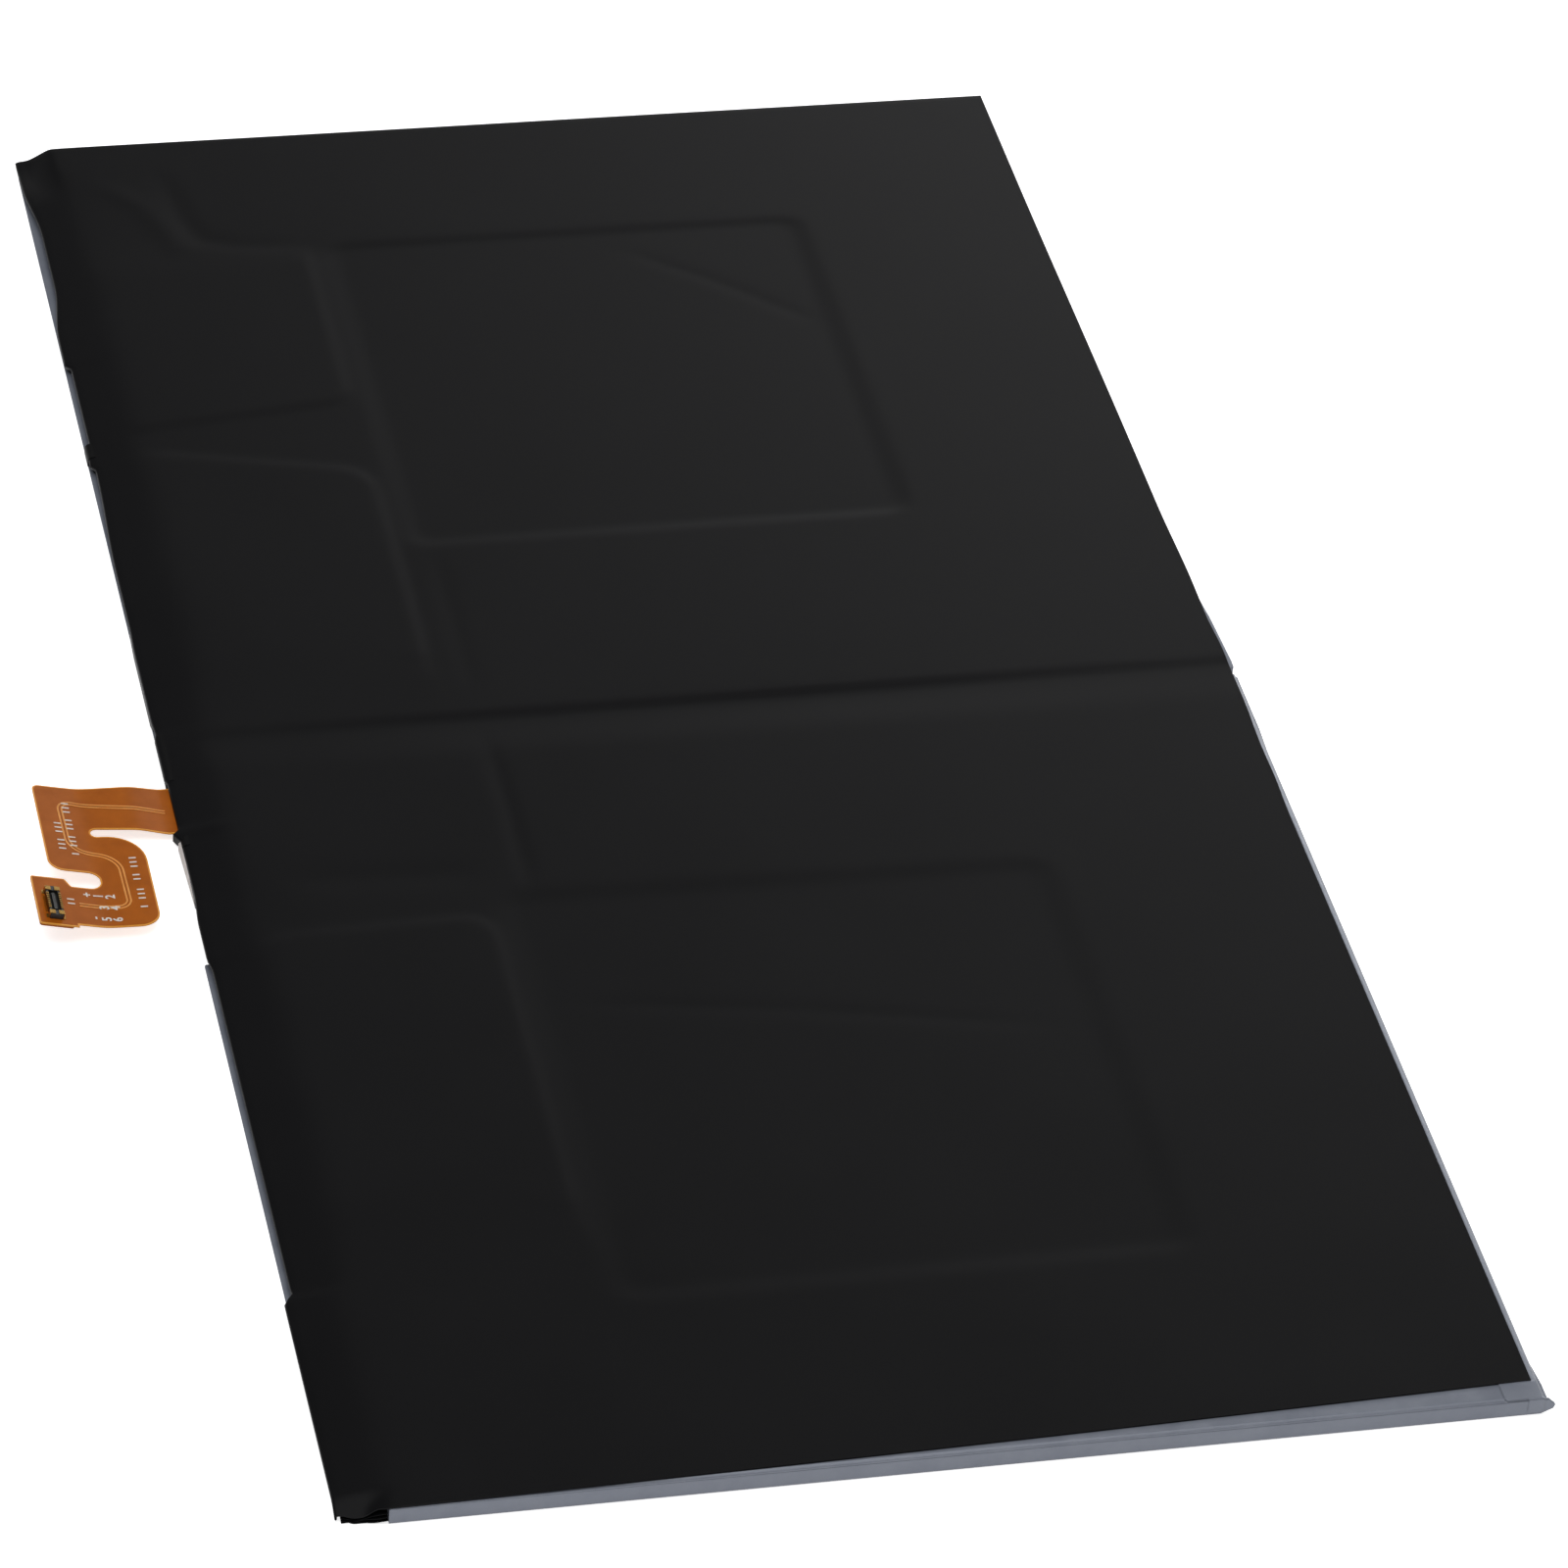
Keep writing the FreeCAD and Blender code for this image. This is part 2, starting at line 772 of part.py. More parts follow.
def flex_outline():
    """Plan of the S-shaped flex circuit: arm, two slots and the plug's tab."""
    first_slot = (flex_arm_near_slot - flex_first_slot_near) / 2 * flex_slot_roundness
    second_slot = (flex_second_slot_far - flex_second_slot_near) / 2 * flex_slot_roundness
    corners = [
        (flex_root, flex_arm_near_root, 0),
        (flex_root, flex_arm_far, 0),
        (flex_left, flex_arm_far, flex_corner_top),
        (flex_left, flex_second_slot_far, flex_corner_left),
        (flex_second_slot_end, flex_second_slot_far, second_slot),
        (flex_second_slot_end, flex_second_slot_near, second_slot),
        (tab_right, flex_second_slot_near, flex_corner_small),
        (tab_right - tab_step, tab_far, flex_corner_small),
        (tab_left, tab_far, flex_corner_small),
        (tab_left, tab_near, flex_corner_small),
        (tab_right, tab_near, 0.1),
        (tab_right, flex_bottom, 0.1),
        (flex_column_right, flex_bottom, flex_corner_bottom),
        (flex_column_right, flex_first_slot_near, flex_corner_inner),
        (flex_first_slot_end, flex_first_slot_near, first_slot),
        (flex_first_slot_end, flex_arm_near_slot, first_slot),
        (flex_arm_flare, flex_arm_near_root, 2.0),
    ]
    points = [(left_side + x, y) for x, y, _ in corners]
    return points, [radius for _, _, radius in corners]


def flex_path():
    """Underside of the flex circuit seen along Y, from the tab's end to its root."""
    level = board_top + flex_first_rise
    high = level + flex_level_rise
    end = tab_left - trim_margin
    end_height = high + (flex_second_rise_start - end) * math.tan(math.radians(flex_tab_angle))
    runs = [
        (end, end_height, 0),
        (flex_second_rise_start, high, flex_bend_radius),
        (flex_first_rise_end, level, flex_bend_radius),
        (flex_first_rise_start, board_top, flex_root_bend_radius),
        (flex_root + trim_margin, board_top, 0),
    ]
    return [(left_side + x, z) for x, z, _ in runs], [bend for _, _, bend in runs]


def flex_layer(low, high, keep_outline):
    """Layer of the flex circuit between two heights above its underside."""
    path, bends = flex_path()
    y_span = (tab_near - trim_margin, flex_arm_far + trim_margin)
    sheet = bent_sheet(path, bends, low, high, y_span)
    points, radii = keep_outline
    outline = prism(points, radii, in_plan, Vector(0, 0, 1), 0, 10 * cell_thickness)
    return sheet.common(outline)


def flex_circuit():
    """Polyimide flex circuit."""
    return flex_layer(0, flex_thickness, flex_outline())


def flex_stiffener():
    """Stiff plate bonded under the plug's tab."""
    x_span = (left_side + tab_left, left_side + tab_right - tab_step)
    outline = rectangle(x_span, (tab_near, tab_far)), [flex_corner_small] * 4
    return flex_layer(-stiffener_thickness, 0, outline)


def plug_placement():
    """Placement that seats a part on the flex circuit's tab at the plug's centre."""
    path, _ = flex_path()
    (x0, z0), (x1, z1) = path[0], path[1]
    x = left_side + plug_centre_x
    slope = (z1 - z0) / (x1 - x0)
    angle = math.atan(slope)
    z = z0 + slope * (x - x0) + flex_thickness / math.cos(angle)
    turn = FreeCAD.Rotation(Vector(0, 1, 0), -math.degrees(angle))
    return FreeCAD.Placement(Vector(x, plug_centre_y, z), turn)


def seated(shape):
    """Shape that was made round the plug's centre, moved onto the tab."""
    shape.Placement = plug_placement().multiply(shape.Placement)
    return shape


def plug_housing():
    """Moulded plug body: a frame with a channel round a central island."""
    half_l, half_w = plug_length / 2, plug_width / 2
    body = plate((-half_w, half_w), (-half_l, half_l), (0, plug_height), 0.12)
    channel_w = half_w - plug_wall
    channel_l = half_l - plug_end_wall
    channel = plate((-channel_w, channel_w), (-channel_l, channel_l),
                    (plug_floor, plug_height + 1), 0.1)
    island_l = channel_l - (channel_w - plug_island_width / 2)
    island = plate((-plug_island_width / 2, plug_island_width / 2), (-island_l, island_l),
                   (plug_floor, plug_height - 0.08), 0.08)
    housing = body.cut(channel).fuse(island).removeSplitter()
    for contact in signal_contact_shapes() + power_contact_shapes():
        housing = housing.cut(contact)
    return seated(housing)


def hooked_contact(side, y, width, foot, wrap):
    """Contact that hooks over the long wall of the plug, with a foot on the flex circuit."""
    wall = plug_width / 2
    t = contact_thickness
    parts = [
        box((wall - 0.02, wall + foot), (y - width / 2, y + width / 2), (0, t)),
        box((wall - 0.02, wall + t), (y - width / 2, y + width / 2), (0, plug_height + t)),
        box((wall - wrap, wall + t), (y - width / 2, y + width / 2),
            (plug_height, plug_height + t)),
    ]
    shape = joined(parts)
    if side < 0:
        shape = shape.mirror(Vector(0, 0, 0), Vector(1, 0, 0))
    return shape


def signal_contact_shapes():
    """Fine contacts along both long sides of the plug."""
    first = -(contact_count - 1) / 2 * contact_pitch
    return [
        hooked_contact(side, first + i * contact_pitch, contact_width, contact_foot, plug_wall)
        for side in (-1, 1) for i in range(contact_count)
    ]


def power_contact_shapes():
    """Four wide contacts at the plug's ends that carry the main current."""
    y = plug_length / 2 - power_contact_width / 2 - 0.12
    return [
        hooked_contact(side, end * y, power_contact_width, power_contact_foot,
                       power_contact_wrap)
        for side in (-1, 1) for end in (-1, 1)
    ]


def contact_group(shapes):
    """Contacts of one kind as a group of separate solids on the tab."""
    return seated(Part.makeCompound(shapes))


def solder_joints():
    """Solder beads between the flex circuit's root and the board."""
    length, width, height = solder_joint_size
    x = left_side + flex_root
    middle = (flex_arm_far + flex_arm_near_root) / 2
    first = middle - (solder_joint_count - 1) / 2 * solder_joint_pitch
    beads = []
    for i in range(solder_joint_count):
        y = first + i * solder_joint_pitch
        points = [(x, board_top), (x + length, board_top), (x, board_top + height)]
        beads.append(prism(points, [0] * 3, in_end, Vector(0, 1, 0), y - width / 2, y + width / 2))
    return Part.makeCompound(beads)


def edge_tape(span):
    """Short tape over the film's left edge, down to the terrace's level."""
    outer = board_bay(front_film_thickness + edge_tape_thickness)
    sleeve = outer.cut(board_bay(front_film_thickness))
    keep = box((left_side - trim_margin, film_wall_inner + edge_tape_reach), span,
               (terrace_top, film_top + trim_margin))
    return sleeve.common(keep)


def build_parts():
    """Every piece of the pack, by the name of its node."""
    parts = {
        "front_film": front_film(),
        "back_film": back_film(),
        "cell_far": pouch_cell(far_cell),
        "cell_near": pouch_cell(near_cell),
        "seam_foam": seam_foam(),
        "protection_board": protection_board(),
        "board_backing_tape": board_backing(),
    }
    for name, outline in spacers.items():
        parts[name] = spacer_tape(outline)
    for name, centre in tab_centres.items():
        parts[name] = cell_tab(centre)
        parts[name.replace("tab", "tab_sealant")] = tab_sealant(centre)
        parts[name.replace("tab", "weld_plate")] = weld_plate(centre)
    for name, sizes in chips.items():
        parts[name] = chip(*sizes)
    parts["chip_resistors"] = small_parts(resistor_rows)
    parts["chip_capacitors"] = small_parts(capacitor_rows)
    parts["flex_circuit"] = flex_circuit()
    parts["flex_stiffener"] = flex_stiffener()
    parts["flex_solder_joints"] = solder_joints()
    parts["plug_housing"] = plug_housing()
    parts["plug_signal_contacts"] = contact_group(signal_contact_shapes())
    parts["plug_power_contacts"] = contact_group(power_contact_shapes())
    for name, span in edge_tape_spans.items():
        parts[name] = edge_tape(span)
    return parts


def main():
    """Build the pieces and write one STEP file for each."""
    os.makedirs("parts", exist_ok=True)
    for name, shape in build_parts().items():
        shape.exportStep(f"parts/{name}.step")
        solids = len(shape.Solids)
        print(f"{name}: {solids} solid(s), {shape.Volume:.3f} mm3, valid {shape.isValid()}")


main()
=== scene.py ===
"""Dresses and lights the tablet battery pack: film, pouches, flex circuit and plug.

Lengths in the classes are millimetres in the pack's own frame: +X points away from the flex
circuit's side, +Y to the far end and +Z up, with the origin at the centre of the underside.
"""
import logging
import math
from dataclasses import dataclass, field
from enum import Enum
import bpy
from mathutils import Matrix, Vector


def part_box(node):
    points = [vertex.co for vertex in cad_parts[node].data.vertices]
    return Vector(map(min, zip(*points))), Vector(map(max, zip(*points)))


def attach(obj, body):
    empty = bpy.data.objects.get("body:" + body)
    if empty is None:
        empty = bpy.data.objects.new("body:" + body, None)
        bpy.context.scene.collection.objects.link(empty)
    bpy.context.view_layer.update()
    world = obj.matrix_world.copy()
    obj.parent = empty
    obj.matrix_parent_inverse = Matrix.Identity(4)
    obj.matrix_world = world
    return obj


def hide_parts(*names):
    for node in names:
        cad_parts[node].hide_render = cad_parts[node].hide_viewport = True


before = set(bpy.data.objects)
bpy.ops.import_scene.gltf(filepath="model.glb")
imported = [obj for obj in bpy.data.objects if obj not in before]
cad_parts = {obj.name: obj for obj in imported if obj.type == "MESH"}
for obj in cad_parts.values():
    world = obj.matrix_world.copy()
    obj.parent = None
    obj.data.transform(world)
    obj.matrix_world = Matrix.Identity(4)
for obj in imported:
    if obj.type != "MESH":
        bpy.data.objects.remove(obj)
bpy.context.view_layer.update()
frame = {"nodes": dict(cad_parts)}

from fnmatch import filter as filter_names
from functools import cache

import bmesh
import bpy
from mathutils import Matrix, Quaternion, Vector, noise

MM = 0.001
# Vertices closer than WELD are joined, and within TOUCH they count as lying on an edge
WELD = 1e-4
TOUCH = 0.01
LOG = logging.getLogger("battery_pack")

Shape = bmesh.types.BMesh
Tree = bpy.types.NodeTree
Socket = bpy.types.NodeSocket
Pair = tuple[float, float]
Triple = tuple[float, float, float]
Span = tuple[float, float, float, float, float]


class Slot(Enum):
    """Material slots of the record, one for each finish."""

    FILM = "black_film"
    TAPE = "black_tape"
    LAMINATE = "pouch_laminate"
    ADHESIVE = "adhesive_tape"
    FOAM = "foam"
    SEALANT = "tab_sealant"
    NICKEL = "nickel"
    ALUMINIUM = "tab_aluminium"
    BOARD = "board_laminate"
    MOULDING = "chip_moulding"
    CERAMIC = "capacitor_ceramic"
    POLYIMIDE = "polyimide"
    SOLDER = "solder"
    PLUG = "plug_moulding"
    GOLD = "gold_plate"


def linear(colour: str) -> tuple[float, float, float, float]:
    """Turns an sRGB hex colour into linear light.

    Args:
        colour: Colour such as "#1a1a1c".

    Returns:
        Red, green, blue and an alpha of 1.
    """
    values = [int(colour[i:i + 2], 16) / 255 for i in (1, 3, 5)]
    red, green, blue = (
        v / 12.92 if v <= 0.04045 else ((v + 0.055) / 1.055) ** 2.4 for v in values
    )
    return red, green, blue, 1.0


def smooth(low: float, high: float, value: float) -> float:
    """Rises smoothly from 0 at low to 1 at high.

    Args:
        low: Value where the rise starts.
        high: Value where it ends.
        value: Place to read.

    Returns:
        A number from 0 to 1.
    """
    t = min(max((value - low) / (high - low), 0.0), 1.0)
    return t * t * (3 - 2 * t)


def blend(start: float, end: float, share: float) -> float:
    """Returns the value that lies the given share of the way from start to end."""
    return start + (end - start) * share


def along(knots: tuple[Pair, ...], place: float) -> float:
    """Reads a soft line through knots.

    Args:
        knots: Place and value of each knot, in rising order of place.
        place: Where the value is wanted.

    Returns:
        The value, held beyond the first and last knots.
    """
    for (start, low), (end, high) in zip(knots, knots[1:]):
        if start <= place < end:
            return blend(low, high, smooth(start, end, place))
    return knots[0][1] if place < knots[0][0] else knots[-1][1]


def swell(spans: tuple[Span, ...], place: float) -> float:
    """Adds up soft-ended steps along a line.

    Args:
        spans: Height, start, length of the rise, end and length of the fall of each step.
        place: Where the sum is wanted.

    Returns:
        The sum.
    """
    return sum(
        height * smooth(start, start + grow, place) * (1 - smooth(end - fade, end, place))
        for height, start, grow, end, fade in spans
    )


def hinge(distance: float, softness: float) -> float:
    """Returns a ramp that bends softly from 0 into the distance."""
    return (distance + math.hypot(distance, softness)) / 2


def add_node(tree: Tree, kind: str, inputs: dict | None = None,
             **settings: object) -> bpy.types.Node:
    """Adds a shader node with its settings and links.

    Args:
        tree: Node tree that gets the node.
        kind: Type name of the node.
        inputs: Socket name or number, with a value or the output socket that feeds it.
        **settings: Attributes of the node.

    Returns:
        The new node.
    """
    node = tree.nodes.new(kind)
    for name, value in settings.items():
        setattr(node, name, value)
    for socket, value in (inputs or {}).items():
        if isinstance(value, Socket):
            tree.links.new(value, node.inputs[socket])
        else:
            node.inputs[socket].default_value = value
    return node


def add_noise(tree: Tree, place: Socket, size: float, detail: float, roughness: float
              ) -> Socket:
    """Adds a noise pattern, whose size is in millimetres, and returns its value."""
    return add_node(tree, "ShaderNodeTexNoise", {
        "Vector": place, "Scale": 1 / (size * MM), "Detail": detail,
        "Roughness": roughness,
    }).outputs["Fac"]


def empty_tree(owner: bpy.types.Material | bpy.types.World) -> Tree:
    """Turns on the nodes of a material or world and returns its emptied tree."""
    owner.use_nodes = True
    owner.node_tree.nodes.clear()
    return owner.node_tree


def add_object(name: str, data: bpy.types.ID) -> bpy.types.Object:
    """Makes an object of a mesh, lamp or camera and links it into the scene."""
    holder = bpy.data.objects.new(name, data)
    bpy.context.scene.collection.objects.link(holder)
    return holder


def aim(holder: bpy.types.Object, place: Triple, target: Triple, roll: float = 0.0) -> None:
    """Stands a lamp or camera at a place and turns it to a target.

    Args:
        holder: The lamp or camera.
        place: Where it stands, in millimetres.
        target: What it points at, in millimetres.
        roll: Turn about its line of sight, in degrees.
    """
    start = Vector(place) * MM
    way = Vector(target) * MM - start
    turn = Quaternion((0, 0, 1), math.radians(roll))
    holder.location = start
    holder.rotation_mode = "QUATERNION"
    holder.rotation_quaternion = way.to_track_quat("-Z", "Y") @ turn


@dataclass(frozen=True)
class Finish:
    """A finish whose colour clouds between two shades over a fine grain.

    Sizes are in millimetres. grain_size is the pitch of the surface texture, and
    stretch draws it out along X, as rolling or calendering does. edge_softness is the
    radius that the edges get in the shading alone.
    """

    title: str
    slot: Slot
    colour: str
    shade: str
    roughness: float
    roughness_swing: float = 0.06
    metallic: float = 0.0
    specular: float = 0.5
    cloud_size: float = 6.0
    grain_size: float = 0.3
    grain_height: float = 0.003
    stretch: float = 1.0
    coat: float = 0.0
    edge_softness: float = 0.0

    def bump_height(self, tree: Tree, place: Socket) -> Socket:
        """Makes the height pattern of the surface.

        Args:
            tree: Node tree of the material.
            place: Object coordinates, stretched as the finish asks.

        Returns:
            Socket with the height from 0 to 1.
        """
        return add_noise(tree, place, self.grain_size, 3.0, 0.55)

    @cache
    def material(self) -> bpy.types.Material:
        """Returns the finish as a material, made once."""
        material = bpy.data.materials.new(self.title)
        tree = empty_tree(material)
        place = add_node(tree, "ShaderNodeTexCoord").outputs["Object"]
        if self.stretch != 1.0:
            mapping = add_node(tree, "ShaderNodeMapping", {
                "Vector": place, "Scale": (1 / self.stretch, 1.0, 1.0),
            })
            place = mapping.outputs["Vector"]
        cloud = add_noise(tree, place, self.cloud_size, 4.0, 0.6)
        share = add_node(tree, "ShaderNodeMapRange", {
            "Value": cloud, "From Min": 0.32, "From Max": 0.68,
        }).outputs["Result"]
        tint = add_node(tree, "ShaderNodeMix", {0: share}, data_type="RGBA")
        colour_a, colour_b = (s for s in tint.inputs if s.type == "RGBA")
        colour_a.default_value = linear(self.colour)
        colour_b.default_value = linear(self.shade)
        mixed = next(s for s in tint.outputs if s.type == "RGBA")
        gloss = add_node(tree, "ShaderNodeMapRange", {
            "Value": share, "To Min": self.roughness - self.roughness_swing,
            "To Max": self.roughness + self.roughness_swing,
        })
        relief = {
            "Height": self.bump_height(tree, place), "Distance": self.grain_height * MM,
            "Strength": 1.0,
        }
        if self.edge_softness:
            soft = add_node(tree, "ShaderNodeBevel", {"Radius": self.edge_softness * MM},
                            samples=8)
            relief["Normal"] = soft.outputs["Normal"]
        bump = add_node(tree, "ShaderNodeBump", relief)
        shader = add_node(tree, "ShaderNodeBsdfPrincipled", {
            "Base Color": mixed, "Roughness": gloss.outputs["Result"],
            "Normal": bump.outputs["Normal"], "Metallic": self.metallic,
            "Specular IOR Level": self.specular, "Coat Weight": self.coat,
        })
        add_node(tree, "ShaderNodeOutputMaterial", {"Surface": shader.outputs["BSDF"]})
        return material


@dataclass(frozen=True)
class EmbossedLaminate(Finish):
    """Nylon-faced aluminium laminate: a faint cross pattern from the sealing bars."""

    emboss_pitch: float = 0.45
    emboss_share: float = 0.25

    def bump_height(self, tree: Tree, place: Socket) -> Socket:
        """Mixes the grain with two crossed sets of shallow ribs.

        Args:
            tree: Node tree of the material.
            place: Object coordinates.

        Returns:
            Socket with the height from 0 to 1.
        """
        height = super().bump_height(tree, place)
        for direction in ("X", "Y"):
            ribs = add_node(tree, "ShaderNodeTexWave", {
                "Vector": place, "Scale": 1 / (self.emboss_pitch * MM * 2 * math.pi),
                "Distortion": 1.5, "Detail": 1.0,
            }, wave_type="BANDS", bands_direction=direction)
            height = add_node(tree, "ShaderNodeMath", {
                0: ribs.outputs["Fac"], 1: self.emboss_share, 2: height,
            }, operation="MULTIPLY_ADD").outputs[0]
        return height


# Polyester film, black throughout and calendered satin: dark, with a soft low sheen
BLACK_FILM = Finish(
    "satin_polyester_film", Slot.FILM, "#08080a", "#0a0a0c", 0.42, 0.015,
    specular=0.08, cloud_size=22.0, grain_size=0.5, grain_height=0.0012,
)
# The same film slit into tape, a little duller from handling
BLACK_TAPE = Finish(
    "black_polyester_tape", Slot.TAPE, "#0a0a0b", "#0e0e0f", 0.5, 0.05,
    specular=0.08, cloud_size=3.0, grain_size=0.4, grain_height=0.002,
)
# Nylon-faced laminate over aluminium foil: blue grey, with a soft metallic gloss
LAMINATE = EmbossedLaminate(
    "nylon_faced_laminate", Slot.LAMINATE, "#757a86", "#7f848f", 0.36,
    metallic=0.25, cloud_size=3.5, grain_size=0.35, grain_height=0.004,
    edge_softness=0.3,
)
# Acrylic adhesive tape on a paper-like carrier: dull and fibrous
ADHESIVE = Finish(
    "acrylic_adhesive_tape", Slot.ADHESIVE, "#3a3a3c", "#444446", 0.8,
    cloud_size=2.0, grain_size=0.2, grain_height=0.006,
)
# Closed-cell foam: matt, with a skin of tiny cells
FOAM = Finish(
    "closed_cell_foam", Slot.FOAM, "#26262a", "#303034", 0.92,
    cloud_size=1.5, grain_size=0.25, grain_height=0.03,
)
# Polypropylene sealant film: milky and slightly waxy
SEALANT = Finish(
    "polypropylene_sealant", Slot.SEALANT, "#cfcabb", "#bdb7a4", 0.45,
    cloud_size=1.2, grain_size=0.2,
)
# Rolled nickel strip: fine lines along the rolling direction
NICKEL = Finish(
    "rolled_nickel", Slot.NICKEL, "#b7b2a6", "#a6a094", 0.32, 0.08,
    metallic=1.0, cloud_size=1.0, grain_size=0.06, grain_height=0.001, stretch=12.0,
)
# Rolled aluminium tab: brighter and softer than nickel
ALUMINIUM = Finish(
    "rolled_aluminium", Slot.ALUMINIUM, "#d2d3d6", "#c2c3c7", 0.3, 0.08,
    metallic=1.0, cloud_size=1.0, grain_size=0.06, grain_height=0.001, stretch=12.0,
)
# Glass-epoxy board under green solder mask: glossy, with the weave just showing
BOARD = Finish(
    "green_solder_mask", Slot.BOARD, "#0f4a2c", "#0b3d24", 0.28,
    cloud_size=0.8, grain_size=0.4, grain_height=0.002, coat=0.2,
)
# Epoxy moulding compound: dark grey and evenly sandy
CHIP_MOULDING = Finish(
    "epoxy_moulding_compound", Slot.MOULDING, "#232427", "#2c2d30", 0.6,
    cloud_size=0.6, grain_size=0.06, grain_height=0.004,
)
# Fired ceramic: tan and matt
CERAMIC = Finish(
    "fired_ceramic", Slot.CERAMIC, "#8d6b48", "#7c5d3e", 0.55,
    cloud_size=0.4, grain_size=0.05,
)
# Tin solder: bright, with a frosted skin where it froze
SOLDER = Finish(
    "frozen_solder", Slot.SOLDER, "#cdced0", "#b4b5b8", 0.3, 0.12,
    metallic=1.0, cloud_size=0.3, grain_size=0.08, grain_height=0.004,
)
# Liquid crystal polymer: black, moulded thin, slightly streaked by its flow
PLUG_MOULDING = Finish(
    "liquid_crystal_polymer", Slot.PLUG, "#1b1a18", "#24221f", 0.5,
    cloud_size=0.5, grain_size=0.08, grain_height=0.004, stretch=0.4,
)
# Gold flashed over nickel: pale gold, rubbed toward nickel in places
GOLD = Finish(
    "gold_flash", Slot.GOLD, "#b08a45", "#9c7638", 0.3, 0.05,
    metallic=1.0, cloud_size=0.9, grain_size=0.1, grain_height=0.0006,
)
# Off-white paper finish, laid on the film's wall as a painted highlight of its lip
LIP_HIGHLIGHT_PAINT = Finish(
    "paper_liner_painted_highlight", Slot.TAPE, "#e3dedb", "#d5d0cd", 0.7,
    cloud_size=1.0, grain_size=0.15,
)
# Bare polyimide at the cut edge: light amber
POLYIMIDE_EDGE = Finish(
    "bare_polyimide", Slot.POLYIMIDE, "#e69d3a", "#d88f2e", 0.38, 0.05,
    specular=0.3, cloud_size=1.5, grain_size=0.2, grain_height=0.002,
)
# Polyimide coverlay over copper: the same amber, browned by the copper under it
POLYIMIDE_COPPER = Finish(
    "coverlay_over_copper", Slot.POLYIMIDE, "#ab5a0e", "#9c500a", 0.45, 0.05,
    specular=0.1, cloud_size=2.6, grain_size=0.16,
)
# Polyimide in the gap between two copper areas: lightest, with nothing dark under it
POLYIMIDE_GAP = Finish(
    "polyimide_between_copper", Slot.POLYIMIDE, "#ffc878", "#f5b866", 0.45, 0.03,
    specular=0.2, cloud_size=1.5, grain_size=0.2, grain_height=0.001,
)
# Screen-printed epoxy ink: off-white, standing a little above the coverlay
INK = Finish(
    "screen_ink", Slot.POLYIMIDE, "#e6ded6", "#d3c8bd", 0.6,
    cloud_size=0.3, grain_size=0.06, grain_height=0.006,
)


def dress(pattern: str, finish: Finish) -> None:
    """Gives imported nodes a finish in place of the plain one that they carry.

    Args:
        pattern: Pattern of the nodes' names.
        finish: Their finish.
    """
    for name in filter_names(frame["nodes"], pattern):
        mesh = frame["nodes"][name].data
        mesh.materials.clear()
        mesh.materials.append(finish.material())
        LOG.info("node %s: %s", name, finish.title)


def make_piece(name: str, shape: Shape, finish: Finish,
               soft_angle: float = 40.0) -> bpy.types.Object:
    """Turns a bmesh in millimetres into a finished piece of the pack.

    Args:
        name: Name of the piece.
        shape: Its mesh in millimetres, freed here.
        finish: Its finish.
        soft_angle: Edges that turn less than this, in degrees, are shaded smooth.

    Returns:
        The piece.
    """
    bmesh.ops.scale(shape, vec=(MM, MM, MM), verts=shape.verts)
    limit = math.radians(soft_angle)
    for face in shape.faces:
        face.smooth = True
    for edge in shape.edges:
        edge.smooth = len(edge.link_faces) == 2 and edge.calc_face_angle(0) < limit
    mesh = bpy.data.meshes.new(name)
    shape.to_mesh(mesh)
    shape.free()
    mesh.materials.append(finish.material())
    piece = add_object(name, mesh)
    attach(piece, "root")
    LOG.info("piece %s: %d faces, %s", name, len(mesh.polygons), finish.title)
    return piece


def make_sheet(name: str, shape: Shape, thickness: float, finish: Finish
               ) -> bpy.types.Object:
    """Gives a bent surface its thickness and turns it into a finished piece.

    Args:
        name: Name of the piece.
        shape: Its surface in millimetres, freed here.
        thickness: Thickness of the sheet.
        finish: Its finish.

    Returns:
        The piece.
    """
    bmesh.ops.solidify(shape, geom=shape.faces[:], thickness=thickness)
    bmesh.ops.recalc_face_normals(shape, faces=shape.faces)
    return make_piece(name, shape, finish)


def round_off(shape: Shape, geometry: list, reach: float, segments: int,
              affect: str = "VERTICES") -> None:
    """Rounds vertices or edges of a shape, by a reach along their neighbours."""
    bmesh.ops.bevel(shape, geom=geometry, offset=reach, segments=segments, profile=0.5,
                    affect=affect, material=-1)


def sideways(points: list[Vector], number: int) -> Vector:
    """Returns the direction square to a flat route at one of its points."""
    ahead = points[min(number + 1, len(points) - 1)]
    way = (ahead - points[max(number - 1, 0)]).normalized()
    return Vector((-way.y, way.x, 0))


def new_vertices(geometry: list) -> list[bmesh.types.BMVert]:
    """Returns the vertices among the elements that an operator made."""
    return [element for element in geometry if isinstance(element, bmesh.types.BMVert)]


